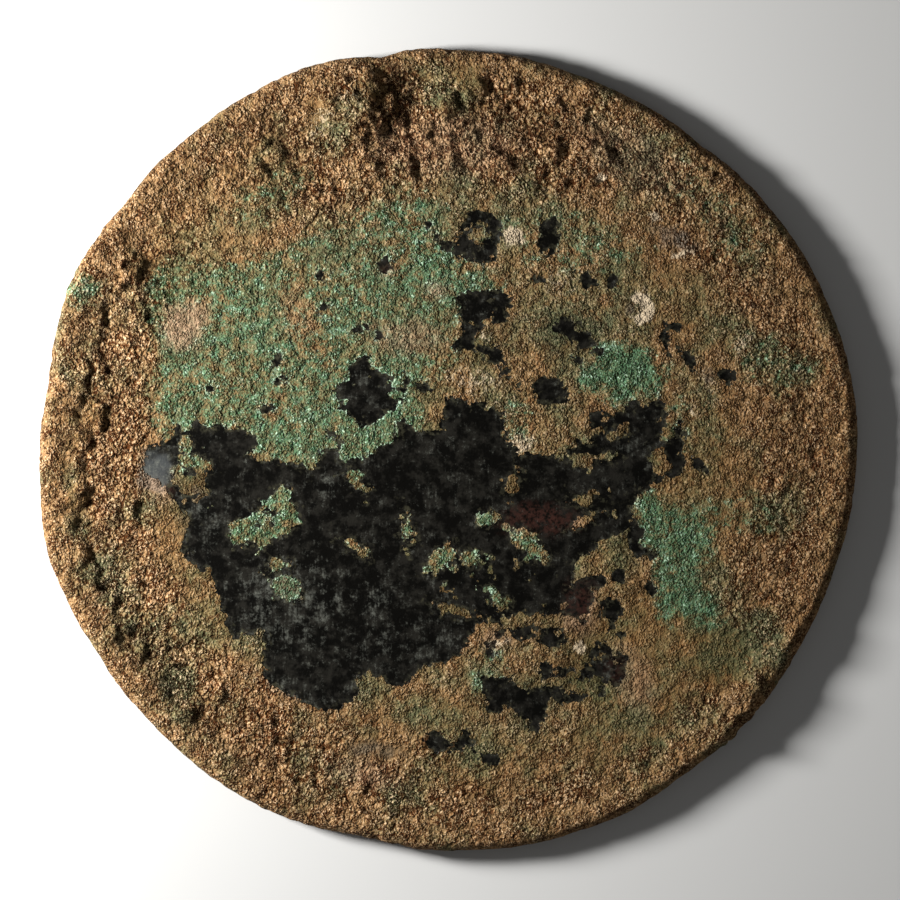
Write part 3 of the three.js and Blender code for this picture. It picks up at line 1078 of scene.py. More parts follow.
@dataclass
class MirrorDisc:
    """The mirror: one casting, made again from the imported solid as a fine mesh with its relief.

    The mesh is rings of even triangles: the face, the rounded brow of the rim, its upright wall, the rounded
    foot and the back.
    """

    solid: SolidForm
    relief: Relief
    polish: Skin = POLISH
    skins: tuple[Skin, ...] = (MALACHITE, OLIVE, DEPOSIT, CUPRITE, CALM, BLOOM, CRUMBS, DIRT_AND_SHADE)
    inner_spacing: float = 0.72
    outer_spacing: float = 0.475
    fine_from: float = 50.0
    fine_change: float = 6.0
    back_spacing: float = 2.3
    brow_radius: float = 2.2
    brow_steps: int = 6
    wall_top: float = 2.1
    wall_steps: int = 2
    foot_radius: float = 0.8
    foot_steps: int = 2
    relief_heights: Zone = (0.3, 1.6)
    wall_side: float = 0.98
    back_coarse: float = 0.25
    deepest: float = 5.0
    hollow_depth: float = 0.75
    olive_reach: float = 58.0
    olive_fade: float = 8.0
    inner_olive: float = 0.5

    @property
    def mean_radius(self) -> float:
        """The mean distance from the middle to the edge."""
        return float(self.solid.outline.mean())

    def build(self) -> bpy.types.Object:
        """Builds the mirror's mesh with the layers of its finish.

        Returns:
            The new object, linked to the scene.
        """
        rings = self._face_rings() + self._edge_rings() + self._back_rings()
        places = np.concatenate([ring.place for ring in rings])
        normals = np.concatenate([ring.normal for ring in rings])
        side = np.concatenate([np.full(len(ring.bearing), ring.side) for ring in rings])
        layers = self._layers(places, side)
        crust = self.relief.crust(places, layers[Layer.COARSE], layers[Layer.DIRT_AND_SHADE])
        # How far the crust lies below its mean; the material darkens these hollows with painted shade.
        layers[Layer.HOLLOW] = ease(-crust, 0.0, self.hollow_depth)
        rise = self.relief.rise(places, crust, layers[Layer.POLISH])
        moved = places + normals * (rise * np.clip(side, 0.0, 1.0))[:, None]
        moved[:, 2] = np.maximum(moved[:, 2], 0.0)
        return self._mesh(moved, self._faces(rings), layers)

    def _mesh(
        self, places: np.ndarray, faces: list[tuple[int, int, int]], layers: dict[Layer, np.ndarray]
    ) -> bpy.types.Object:
        """Makes the object.

        Args:
            places: The vertices, one row each, in millimetres.
            faces: The triangles, by vertex number.
            layers: A value for each vertex, by layer.

        Returns:
            The new object, linked to the scene.
        """
        mesh = bpy.data.meshes.new("mirror")
        mesh.from_pydata((places * MM).tolist(), [], faces)
        mesh.polygons.foreach_set("use_smooth", [True] * len(mesh.polygons))
        for layer, values in layers.items():
            attribute = mesh.attributes.new(layer.value, "FLOAT", "POINT")
            attribute.data.foreach_set("value", values.astype(np.float32))
        mesh.update()
        mirror = bpy.data.objects.new("mirror", mesh)
        bpy.context.scene.collection.objects.link(mirror)
        return mirror

    def _layers(self, places: np.ndarray, side: np.ndarray) -> dict[Layer, np.ndarray]:
        """Works out the finish layers of every vertex.

        Args:
            places: The vertices, one row each.
            side: Which side each vertex is on, as a ring says it.

        Returns:
            A value for each vertex, by layer.
        """
        facing = side == 1
        layers = {Layer.POLISH: np.full(len(places), -self.deepest)}
        layers[Layer.POLISH][facing] = np.clip(self.polish.depth(places[facing]), -self.deepest, self.deepest)
        for skin in self.skins:
            layers[skin.layer] = np.zeros(len(places))
            layers[skin.layer][facing] = skin.share(places[facing])
        coarse = np.where(side > 0, self.relief.coarseness(places), self.back_coarse)
        layers[Layer.COARSE] = coarse * (1 - layers[Layer.CALM])
        away = np.hypot(places[:, 0], places[:, 1])
        inner = self.inner_olive * ease(away, self.olive_reach, self.olive_reach - self.olive_fade)
        layers[Layer.OLIVE] = np.maximum(layers[Layer.OLIVE], inner)
        return layers

    def _bearings(self, radius: float, spacing: float, turn_share: float) -> np.ndarray:
        """Gives even bearings round a ring, turned by a share of their spacing."""
        count = max(6, round(FULL_TURN * radius / spacing))
        return (np.arange(count) + turn_share) * FULL_TURN / count

    def _flat_ring(self, radius: float, spacing: float, turn_share: float, top: bool) -> Ring:
        """Makes one ring of the face or the back.

        Args:
            radius: Its distance from the middle on an even disc.
            spacing: How far apart its points are.
            turn_share: How far it is turned, as a share of that.
            top: Whether it is on the face.

        Returns:
            The ring, a single point where the radius is 0.
        """
        bearing = self._bearings(radius, spacing, turn_share) if radius > 0 else np.zeros(1)
        reach = np.full(len(bearing), radius / self.mean_radius)
        table = self.solid.top if top else self.solid.underside
        height = self.solid.height(table, bearing, reach)
        if not top:
            height = np.maximum(height, 0.0)
        distance = reach * self.solid.edge(bearing)
        place = np.stack([distance * np.cos(bearing), distance * np.sin(bearing), height], axis=1)
        side = 1.0 if top else -1.0
        return Ring(bearing, place, np.tile([0.0, 0.0, side], (len(bearing), 1)), side)

    def _face_rings(self) -> list[Ring]:
        """Makes the rings of the face, whose triangles are finer in the crusted outer part.

        Returns:
            The rings, from the middle to where the brow begins.
        """
        end = self.mean_radius - self.brow_radius
        radii = [0.0]
        while radii[-1] < end:
            fine = np.clip((radii[-1] - self.fine_from) / self.fine_change + 0.5, 0, 1)
            spacing = self.inner_spacing + (self.outer_spacing - self.inner_spacing) * fine
            radii.append(radii[-1] + spacing * ROW_HEIGHT)
        stretch = end / radii[-1]
        rings = []
        for step, radius in enumerate(radii):
            spacing = self.inner_spacing if radius < self.fine_from else self.outer_spacing
            rings.append(self._flat_ring(radius * stretch, spacing, 0.5 * (step % 2), True))
        return rings

    def _edge_ring(self, inset: float, drop: float, lean: float, height: float | None, step: int) -> Ring:
        """Makes one ring of the edge.

        Args:
            inset: How far it is in from the outline.
            drop: How far it is below the crown of the rim.
            lean: How steeply its normal rises, in radians.
            height: Its height from the floor, where that sets it rather than the drop.
            step: Its number, which staggers its points.

        Returns:
            The ring.
        """
        bearing = self._bearings(self.mean_radius, self.outer_spacing, 0.5 * (step % 2))
        edge = self.solid.edge(bearing)
        if height is None:
            rise = self.solid.height(self.solid.top, bearing, 1 - self.brow_radius / edge) - drop
            side = 1.0
        else:
            rise = np.full(len(bearing), height)
            side = self.wall_side * float(ease(height, *self.relief_heights))
        distance = edge - inset
        place = np.stack([distance * np.cos(bearing), distance * np.sin(bearing), rise], axis=1)
        flat = math.cos(lean)
        up = np.full(len(bearing), math.sin(lean))
        normal = np.stack([flat * np.cos(bearing), flat * np.sin(bearing), up], axis=1)
        return Ring(bearing, place, normal, side)

    def _edge_rings(self) -> list[Ring]:
        """Makes the rings of the brow, the wall and the foot.

        Returns:
            The rings, from the crown of the rim down to the floor.
        """
        rings = []
        for step in range(1, self.brow_steps + 1):
            angle = math.pi / 2 * (1 - step / self.brow_steps)
            inset = self.brow_radius * (1 - math.cos(angle))
            drop = self.brow_radius * (1 - math.sin(angle))
            rings.append(self._edge_ring(inset, drop, angle, None, step))
        for step in range(1, self.wall_steps + 1):
            height = self.wall_top + (self.foot_radius - self.wall_top) * step / self.wall_steps
            rings.append(self._edge_ring(0.0, 0.0, 0.0, height, self.brow_steps + step))
        for step in range(1, self.foot_steps + 1):
            angle = math.pi / 2 * step / self.foot_steps
            inset = self.foot_radius * (1 - math.cos(angle))
            height = self.foot_radius * (1 - math.sin(angle))
            number = self.brow_steps + self.wall_steps + step
            rings.append(self._edge_ring(inset, 0.0, -angle, height, number))
        return rings

    def _back_rings(self) -> list[Ring]:
        """Makes the rings of the back.

        Returns:
            The rings, from the foot to the middle.
        """
        radius = self.mean_radius - self.foot_radius
        steps = round(radius / (self.back_spacing * ROW_HEIGHT))
        rings = []
        for step in range(1, steps + 1):
            at = radius * (1 - step / steps)
            rings.append(self._flat_ring(at, self.back_spacing, 0.5 * (step % 2), False))
        return rings

    def _faces(self, rings: list[Ring]) -> list[tuple[int, int, int]]:
        """Joins each ring to the next with triangles.

        Args:
            rings: The rings, from the middle of the face round to the middle of the back.

        Returns:
            The triangles, by vertex number, facing out.
        """
        faces = []
        start = 0
        for inner, outer in zip(rings, rings[1:]):
            first = inner.bearing
            second = outer.bearing
            a_count, b_count = len(first), len(second)
            a = b = 0
            while a < a_count or b < b_count:
                a_next = first[a + 1] if a + 1 < a_count else first[0] + FULL_TURN
                b_next = second[b + 1] if b + 1 < b_count else second[0] + FULL_TURN
                here = start + a % a_count
                there = start + a_count + b % b_count
                if b_count > 1 and (a >= a_count or a_count == 1 or (b < b_count and b_next < a_next)):
                    faces.append((here, there, start + a_count + (b + 1) % b_count))
                    b += 1
                    if a_count == 1 and b == b_count:
                        break
                else:
                    faces.append((here, there, start + (a + 1) % a_count))
                    a += 1
                    if b_count == 1 and a == a_count:
                        break
            start += a_count
        return faces


@dataclass(frozen=True)
class Cloud:
    """Noise in a material.

    Its size is in millimetres, `detail` is how many finer noises are added and `rough` is how strong they
    are, and `shift` moves it, so that no two are alike.
    """

    size: float
    detail: float = 2.0
    shift: float = 0.0
    rough: float = 0.5


@dataclass(frozen=True)
class Ramp:
    """A smooth change from one amount to another, between two values of what steers it."""

    low: float
    high: float
    start: float = 0.0
    end: float = 1.0


@dataclass
class Graph:
    """A short way to write the nodes of one material."""

    tree: bpy.types.NodeTree

    def add(self, kind: str, **settings: object) -> bpy.types.Node:
        """Adds a node.

        Args:
            kind: The node's type.
            settings: Its options, by name.

        Returns:
            The new node.
        """
        node = self.tree.nodes.new(kind)
        for name, value in settings.items():
            setattr(node, name, value)
        return node

    def feed(self, socket: Socket, source: Source) -> None:
        """Links a socket to another, or sets it to a plain value.

        Args:
            socket: The socket to feed.
            source: What it gets.
        """
        if isinstance(source, bpy.types.NodeSocket):
            self.tree.links.new(source, socket)
        elif isinstance(source, tuple) and socket.type == "RGBA":
            socket.default_value = (*source, 1.0)
        else:
            socket.default_value = source

    def layer(self, layer: Layer) -> Socket:
        """Reads one layer of the mesh."""
        return self.add("ShaderNodeAttribute", attribute_name=layer.value).outputs["Fac"]

    def vector(self, operation: str, *sources: Source) -> Socket:
        """Works on places.

        Args:
            operation: What is done.
            sources: What it is done with, a place and up to two more.

        Returns:
            The new place.
        """
        node = self.add("ShaderNodeVectorMath", operation=operation)
        for socket, source in zip(node.inputs, sources):
            self.feed(socket, source)
        return node.outputs[0]

    def place(self) -> Socket:
        """Gives the place on the object, in millimetres."""
        found = self.add("ShaderNodeTexCoord").outputs["Object"]
        return self.vector("MULTIPLY", found, (1 / MM, 1 / MM, 1 / MM))

    def moved(self, place: Socket, shift: float) -> Socket:
        """Moves the place, so that patterns of one kind differ."""
        return self.vector("ADD", place, (shift, shift, shift))

    def stretched(self, place: Socket, up: float) -> Socket:
        """Draws patterns on the place out upwards, by so many times."""
        return self.vector("MULTIPLY", place, (1.0, 1 / up, 1.0))

    def maths(self, operation: str, *sources: Source, clamp: bool = False) -> Socket:
        """Works on one to three values.

        Args:
            operation: What is done.
            sources: The values.
            clamp: Whether the result is kept within 0 to 1.

        Returns:
            The result.
        """
        node = self.add("ShaderNodeMath", operation=operation, use_clamp=clamp)
        for socket, source in zip(node.inputs, sources):
            self.feed(socket, source)
        return node.outputs[0]

    def times(self, first: Source, *others: Source) -> Socket:
        """Multiplies values.

        Args:
            first: The first value.
            others: The others.

        Returns:
            The product.
        """
        for other in others:
            first = self.maths("MULTIPLY", first, other)
        return first

    def total(self, *terms: tuple[Source, float], start: Source = 0.0) -> Socket:
        """Adds up values.

        Args:
            terms: Each value with its weight.
            start: What they are added to.

        Returns:
            The total.
        """
        for value, weight in terms:
            start = self.maths("MULTIPLY_ADD", value, weight, start)
        return start

    def ramp(self, value: Source, ramp: Ramp) -> Socket:
        """Changes smoothly with a value.

        Args:
            value: The value that steers it.
            ramp: How it changes.

        Returns:
            The amount.
        """
        node = self.add("ShaderNodeMapRange", interpolation_type="SMOOTHSTEP")
        for socket, source in zip(node.inputs, (value, ramp.low, ramp.high, ramp.start, ramp.end)):
            self.feed(socket, source)
        return node.outputs[0]

    def noise(self, place: Socket, cloud: Cloud) -> bpy.types.Node:
        """Adds a noise node.

        Args:
            place: Where on the object.
            cloud: The noise.

        Returns:
            The new node.
        """
        node = self.add("ShaderNodeTexNoise", noise_dimensions="3D")
        self.feed(node.inputs["Vector"], self.moved(place, cloud.shift * cloud.size))
        node.inputs["Scale"].default_value = 1 / cloud.size
        node.inputs["Detail"].default_value = cloud.detail
        node.inputs["Roughness"].default_value = cloud.rough
        return node

    def cloud(self, place: Socket, cloud: Cloud) -> Socket:
        """Gives noise, about 0.2 to 0.8."""
        return self.noise(place, cloud).outputs[0]

    def warp(self, place: Socket, cloud: Cloud, amount: float) -> Socket:
        """Bends the place about, so that patterns on it lose their evenness.

        Args:
            place: Where on the object.
            cloud: The noise that bends it.
            amount: How far, in millimetres.

        Returns:
            The bent place.
        """
        bend = self.noise(place, cloud).outputs["Color"]
        return self.vector("MULTIPLY_ADD", bend, (amount, amount, amount), place)

    def cells(self, place: Socket, size: float, shift: float = 0.0) -> tuple[Socket, list[Socket]]:
        """Gives round grains.

        Args:
            place: Where on the object.
            size: How wide they are, in millimetres.
            shift: Moves the pattern.

        Returns:
            The distance from their middles, and three values that each grain has to itself.
        """
        node = self.add("ShaderNodeTexVoronoi", voronoi_dimensions="3D", feature="F1")
        self.feed(node.inputs["Vector"], self.moved(place, shift))
        node.inputs["Scale"].default_value = 1 / size
        parts = self.add("ShaderNodeSeparateColor")
        self.feed(parts.inputs[0], node.outputs["Color"])
        return node.outputs["Distance"], list(parts.outputs)

    def blend(self, share: Source, first: Source, second: Source, kind: str = "MIX") -> Socket:
        """Mixes two colours.

        Args:
            share: How much of the second there is, 0 to 1.
            first: The first colour.
            second: The second colour.
            kind: How they are mixed.

        Returns:
            The mixed colour.
        """
        node = self.add("ShaderNodeMix", data_type="RGBA", blend_type=kind)
        self.feed(node.inputs[0], share)
        for number, colour in zip(MIX_COLOURS, (first, second)):
            self.feed(node.inputs[number], colour)
        return node.outputs[MIX_RESULT]

    def stain(self, share: Source, colour: Socket, tint: Colour) -> Socket:
        """Darkens a colour towards its product with a tint."""
        return self.blend(share, colour, tint, "MULTIPLY")


@dataclass
class Surface:
    """What all finishes share: the place, the grain and its height, and the layers of the mesh.

    The crust has warty pebbles where it is coarse, and grains, small grains and the finest noise everywhere.
    `crown` is 1 on the tops of these and 0 in the creases between them. The creases are darkened by painted
    shade, more where the crust is coarse, standing in for the shadows that bump relief cannot cast.
    """

    graph: Graph
    pebble_size: float = 0.85
    grain_size: float = 0.47
    small_size: float = 0.3
    pebble_shift: float = 9.0
    small_shift: float = 4.0
    bend: Cloud = Cloud(0.9, 1.0)
    bend_by: float = 1.0
    fine: Cloud = Cloud(0.38, 1.0, 2.0)
    rough_places: Cloud = Cloud(2.4, 2.0, 51.0, 0.6)
    roughness: Ramp = Ramp(0.36, 0.64, 0.45, 1.5)
    calming: Ramp = Ramp(0.0, 1.0, 1.0, 0.5)
    pebble: Ramp = Ramp(0.78, 0.12)
    dome: Ramp = Ramp(0.75, 0.4, -0.26, 0.1)
    crown_rise: Ramp = Ramp(0.66, 1.36)
    # How much painted shade the creases get, by how low the crown is and by how coarse the crust is.
    painted_shade_ramp: Ramp = Ramp(0.5, 0.0)
    painted_shade_depth: Ramp = Ramp(0.0, 0.5, 0.72, 1.0)
    edge_height: float = 0.22
    ragged: Cloud = Cloud(1.9, 2.0, 8.0, 0.7)
    ragged_by: float = 4.2
    tooth: float = 0.2
    crumbs: Cloud = Cloud(2.4, 2.0, 15.0, 0.5)
    crumb: Ramp = Ramp(0.56, 0.66)
    crumb_depth: float = 6.0
    polish_edge: Ramp = Ramp(-0.08, 0.1)

    def __post_init__(self) -> None:
        """Makes the shared nodes."""
        graph = self.graph
        self.place = graph.place()
        bent = graph.warp(self.place, self.bend, self.bend_by)
        pebble_away, self.pebble_tints = graph.cells(bent, self.pebble_size, self.pebble_shift)
        away, self.tints = graph.cells(bent, self.grain_size)
        small_away, self.small_tints = graph.cells(bent, self.small_size, self.small_shift)
        self.coarse = graph.layer(Layer.COARSE)
        self.hollow = graph.layer(Layer.HOLLOW)
        self._grain(pebble_away, away, small_away)
        self._edges()

    def _grain(self, pebble_away: Socket, away: Socket, small_away: Socket) -> None:
        """Makes the height of the grain, and how near its tops each place is.

        Args:
            pebble_away: The distance from the middles of the pebbles.
            away: The distance from the middles of the grains.
            small_away: The distance from the middles of the small grains.
        """
        graph = self.graph
        finest = graph.cloud(self.place, self.fine)
        grains = graph.maths("SUBTRACT", 1.0, away)
        small = graph.maths("SUBTRACT", 1.0, small_away)
        rough = graph.ramp(graph.cloud(self.place, self.rough_places), self.roughness)
        rough = graph.times(rough, graph.ramp(graph.layer(Layer.CALM), self.calming))
        fine = graph.total((finest, 0.75), (small, 0.2), (grains, 0.2))
        pebbles = graph.total((self.pebble_tints[0], 0.45), start=0.3)
        pebbles = graph.times(graph.ramp(pebble_away, self.pebble), pebbles, self.coarse)
        self.height = graph.maths("ADD", pebbles, graph.times(fine, rough))

        tops = graph.total((grains, 0.42), (small, 0.3), (self.small_tints[1], 0.45), (finest, 1.1))
        tops = graph.maths("SUBTRACT", tops, 1.2)
        domes = graph.times(graph.ramp(pebble_away, self.dome), self.coarse)
        # Hollows lower the crown, so they get more painted shade in the creases and fewer pale tops.
        tops = graph.total((graph.times(tops, rough), 1.0), (domes, 1.0), (self.hollow, -0.12), start=1.05)
        self.crown = graph.ramp(tops, self.crown_rise)
        # Painted shade: the share of darkening in the creases between grains.
        self.painted_shade = graph.times(graph.ramp(self.crown, self.painted_shade_ramp), graph.ramp(self.coarse, self.painted_shade_depth))

    def _edges(self) -> None:
        """Makes the ragged edge between the crust and the black polish."""
        graph = self.graph
        ragged = graph.cloud(self.place, self.ragged)
        crumbs = graph.ramp(graph.cloud(self.place, self.crumbs), self.crumb)
        crumbs = graph.times(crumbs, graph.layer(Layer.CRUMBS))
        self.depth = graph.total(
            (graph.layer(Layer.POLISH), 1.0),
            (ragged, self.ragged_by),
            (self.small_tints[0], self.tooth),
            (crumbs, -self.crumb_depth),
            start=-(self.ragged_by + self.tooth) / 2,
        )
        self.polish = graph.ramp(self.depth, self.polish_edge)


@dataclass(frozen=True)
class CrustFinish:
    """The tan and brown crust, each grain in a tint of its own."""

    tan: Colour = (0.235, 0.134, 0.056)
    pebble: Colour = (0.29, 0.168, 0.085)
    brown: Colour = (0.122, 0.07, 0.026)
    # Pale cream, laid on grain tops: partly paler crust, partly painted highlight on tops that catch the
    # light.
    cream: Colour = (0.58, 0.41, 0.25)
    olive: Colour = (0.12, 0.098, 0.042)
    moss: Colour = (0.075, 0.088, 0.044)
    rust: Colour = (0.19, 0.082, 0.026)
    # A dark colour laid in the creases and hollows of the dirt patches: partly real dirt, partly painted
    # shade.
    dirt_and_shade: Colour = (0.03, 0.026, 0.011)
    crumb: Colour = (0.22, 0.3, 0.25)
    grey: Colour = (0.105, 0.088, 0.068)
    # A tint that darkens the smoother zones and turns them a little olive; the darkening is painted shade, in
    # place of the self-shadowing of rough crust.
    calm: Colour = (0.74, 0.72, 0.62)
    # The tint of the painted shade in the creases between grains.
    painted_shade_tint: Colour = (0.2, 0.1, 0.02)
    broad: Cloud = Cloud(9.0, 3.0, 1.0, 0.6)
    middling: Cloud = Cloud(3.2, 3.0, 3.0, 0.6)
    rusty: Cloud = Cloud(4.0, 3.0, 6.0, 0.6)
    tan_share: Ramp = Ramp(0.5, 1.1)
    pebble_share: Ramp = Ramp(0.35, 1.0, 0.0, 0.8)
    olive_share: Ramp = Ramp(1.08, 1.6, 0.0, 0.95)
    moss_share: Ramp = Ramp(1.6, 2.0, 0.0, 0.75)
    rust_share: Ramp = Ramp(0.9, 1.3, 0.0, 0.55)
    cream_share: Ramp = Ramp(0.55, 1.1)
    cream_and_highlight_tops: Ramp = Ramp(0.4, 1.0)
    cream_coarse: Ramp = Ramp(0.0, 0.6, 0.5, 0.7)
    # How the dark colour follows the creases, and how strong it is: partly dirt, partly painted shade.
    dirt_and_shade_creases: Ramp = Ramp(0.9, 0.1, 0.0, 0.5)
    dirt_and_shade_strength: float = 0.55
    grey_share: Ramp = Ramp(0.95, 1.7, 0.0, 0.85)

    def colour(self, graph: Graph, surface: Surface) -> Socket:
        """Makes the crust's colour.

        Args:
            graph: The material's nodes.
            surface: What the finishes share.

        Returns:
            The colour.
        """
        middling = graph.cloud(surface.place, self.middling)
        colour = self._patches(graph, surface, middling)
        # Cream on the grain tops where the crust is coarse: partly paler crust, partly painted highlight.
        light = graph.ramp(graph.total((middling, 0.9), (surface.small_tints[0], 0.6)), self.cream_share)
        tops = graph.ramp(surface.crown, self.cream_and_highlight_tops)
        light = graph.times(light, tops, graph.ramp(surface.coarse, self.cream_coarse))
        colour = graph.blend(light, colour, self.cream)
        # Dark colour in the creases and hollows of the dirt patches: partly real dirt, partly painted shade.
        dirt_and_shade_share = graph.total((surface.hollow, 0.7), start=graph.ramp(surface.crown, self.dirt_and_shade_creases))
        dirt_and_shade_share = graph.maths("MULTIPLY", graph.layer(Layer.DIRT_AND_SHADE), dirt_and_shade_share, clamp=True)
        colour = graph.blend(graph.times(dirt_and_shade_share, self.dirt_and_shade_strength), colour, self.dirt_and_shade)
        colour = graph.stain(graph.layer(Layer.CRUMBS), colour, self.crumb)
        grey = graph.total((graph.layer(Layer.BLOOM), 1.2), start=middling)
        colour = graph.blend(graph.ramp(grey, self.grey_share), colour, self.grey)
        # Painted shade: the smoother zones are darkened, in place of the self-shadowing of rough crust.
        colour = graph.stain(graph.layer(Layer.CALM), colour, self.calm)
        # Painted shade darkens the creases between grains.
        return graph.stain(surface.painted_shade, colour, self.painted_shade_tint)

    def _patches(self, graph: Graph, surface: Surface, middling: Socket) -> Socket:
        """Makes the patches of tan, brown, olive, moss and rust.

        Args:
            graph: The material's nodes.
            surface: What the finishes share.
            middling: Noise for patches of a few millimetres.

        Returns:
            The colour.
        """
        share = graph.total((middling, 1.3), (surface.tints[0], 0.25), (surface.coarse, 0.12))
        colour = graph.blend(graph.ramp(share, self.tan_share), self.brown, self.tan)
        pebbly = graph.times(graph.ramp(surface.pebble_tints[1], self.pebble_share), surface.coarse)
        colour = graph.blend(pebbly, colour, self.pebble)
        broad = graph.cloud(surface.place, self.broad)
        greenish = graph.total((broad, 2.1), (graph.layer(Layer.OLIVE), 0.55), (surface.small_tints[1], 0.15))
        colour = graph.blend(graph.ramp(greenish, self.olive_share), colour, self.olive)
        mossy = graph.total((surface.tints[1], 0.35), start=greenish)
        colour = graph.blend(graph.ramp(mossy, self.moss_share), colour, self.moss)
        rusty = graph.total((graph.cloud(surface.place, self.rusty), 1.5), (surface.tints[2], 0.25))
        return graph.blend(graph.ramp(rusty, self.rust_share), colour, self.rust)


@dataclass(frozen=True)
class MalachiteFinish:
    """The green malachite, as grains of teal and mint among the brown."""

    green: Colour = (0.06, 0.145, 0.075)
    deep: Colour = (0.055, 0.088, 0.042)
    mint: Colour = (0.36, 0.5, 0.37)
    # A tint that darkens the smoother zones: painted shade in place of the self-shadowing of rough crust.
    calm: Colour = (0.86, 0.86, 0.84)
    # The tint of the painted shade in the creases between grains.
    painted_shade_tint: Colour = (0.2, 0.24, 0.12)
    patches: Cloud = Cloud(1.9, 3.0, 12.0, 0.65)
    amount: Ramp = Ramp(0.95, 1.6, 0.0, 0.92)
    fading: Ramp = Ramp(0.0, 0.2)
    rim: Ramp = Ramp(-0.7, -0.15, 0.0, 0.4)
    mint_share: Ramp = Ramp(0.82, 1.15)
    mint_tops: Ramp = Ramp(0.2, 0.8)

    def colour(self, graph: Graph, surface: Surface, under: Socket) -> Socket:
        """Lays the malachite over another colour.

        Args:
            graph: The material's nodes.
            surface: What the finishes share.
            under: The colour that it grows on.

        Returns:
            The colour with the malachite on it.
        """
        here = graph.layer(Layer.MALACHITE)
        patchy = graph.cloud(surface.place, self.patches)
        tints = ((surface.tints[2], 0.25), (surface.small_tints[2], 0.2))
        amount = graph.ramp(graph.total((patchy, 1.5), (here, 0.45), *tints), self.amount)
        amount = graph.times(amount, graph.ramp(here, self.fading))
        green = graph.blend(surface.small_tints[2], self.deep, self.green)
        rim = graph.ramp(surface.depth, self.rim)
        bright = graph.total((surface.small_tints[0], 0.55), (patchy, 0.9), start=rim)
        bright = graph.times(graph.ramp(bright, self.mint_share), graph.ramp(surface.crown, self.mint_tops))
        green = graph.blend(bright, green, self.mint)
        # Painted shade: the smoother zones are darkened, in place of the self-shadowing of rough crust.
        green = graph.stain(graph.layer(Layer.CALM), green, self.calm)
        # Painted shade darkens the creases between grains.
        green = graph.stain(surface.painted_shade, green, self.painted_shade_tint)
        return graph.blend(amount, under, green)


@dataclass(frozen=True)
class DepositFinish:
    """Cream and pinkish deposits, and red cuprite that shows through."""

    cream: Colour = (0.42, 0.33, 0.22)
    pink: Colour = (0.3, 0.185, 0.12)
    pink_tops: Ramp = Ramp(0.0, 0.8, 0.2, 0.75)
    broken: Cloud = Cloud(0.9, 2.0, 41.0, 0.6)
    cream_share: Ramp = Ramp(1.2, 2.0, 0.0, 0.95)

    def colour(self, graph: Graph, surface: Surface, under: Socket) -> Socket:
        """Lays the deposits over another colour.

        Args:
            graph: The material's nodes.
            surface: What the finishes share.
            under: The colour that they lie on.

        Returns:
            The colour with the deposits on it.
        """
        pinkish = graph.times(graph.layer(Layer.CUPRITE), graph.ramp(surface.crown, self.pink_tops))
        colour = graph.blend(pinkish, under, self.pink)
        broken = graph.cloud(surface.place, self.broken)
        pale = graph.total((broken, 1.5), (surface.crown, 0.35), start=graph.layer(Layer.DEPOSIT))
        return graph.blend(graph.ramp(pale, self.cream_share), colour, self.cream)


@dataclass(frozen=True)
class PolishFinish:
    """The black polished patina, with charcoal clouds, grey wisps and a reddish place."""

    black: Colour = (0.0016, 0.0014, 0.001)
    charcoal: Colour = (0.0105, 0.0096, 0.0076)
    wisp: Colour = (0.105, 0.108, 0.09)
    bloom: Colour = (0.07, 0.075, 0.075)
    red: Colour = (0.035, 0.014, 0.01)
    film: Colour = (0.03, 0.028, 0.017)
    clouds: Cloud = Cloud(3.2, 3.0, 21.0, 0.75)
    thin: Cloud = Cloud(1.1, 2.0, 27.0, 0.7)
    specks: Cloud = Cloud(1.8, 4.0, 31.0, 0.85)
    scratches: Cloud = Cloud(0.4, 1.0, 35.0)
    scratch_length: float = 7.0
    charcoal_share: Ramp = Ramp(0.42, 0.66)
    red_share: Ramp = Ramp(0.35, 0.65)
    film_edge: Ramp = Ramp(1.3, 0.0)
    film_share: Ramp = Ramp(0.46, 0.62)
    bloom_share: Ramp = Ramp(0.75, 1.2, 0.0, 0.5)
    wisp_share: Ramp = Ramp(0.86, 1.24, 0.0, 0.9)

    def colour(self, graph: Graph, surface: Surface) -> Socket:
        """Makes the patina's colour.

        Args:
            graph: The material's nodes.
            surface: What the finishes share.

        Returns:
            The colour.
        """
        clouds = graph.cloud(surface.place, self.clouds)
        thin = graph.cloud(surface.place, self.thin)
        bloom = graph.layer(Layer.BLOOM)
        colour = graph.blend(graph.ramp(clouds, self.charcoal_share), self.black, self.charcoal)
        stained = graph.times(graph.layer(Layer.CUPRITE), graph.ramp(thin, self.red_share))
        colour = graph.blend(stained, colour, self.red)
        film = graph.times(graph.ramp(surface.depth, self.film_edge), graph.ramp(thin, self.film_share))
        colour = graph.blend(film, colour, self.film)
        colour = graph.blend(graph.ramp(bloom, self.bloom_share), colour, self.bloom)
        scratched = graph.stretched(surface.place, self.scratch_length)
        specks = graph.total(
            (clouds, 0.35),
            (bloom, 0.14),
            (graph.cloud(scratched, self.scratches), 0.25),
            start=graph.cloud(surface.place, self.specks),
        )
        return graph.blend(graph.ramp(specks, self.wisp_share), colour, self.wisp)


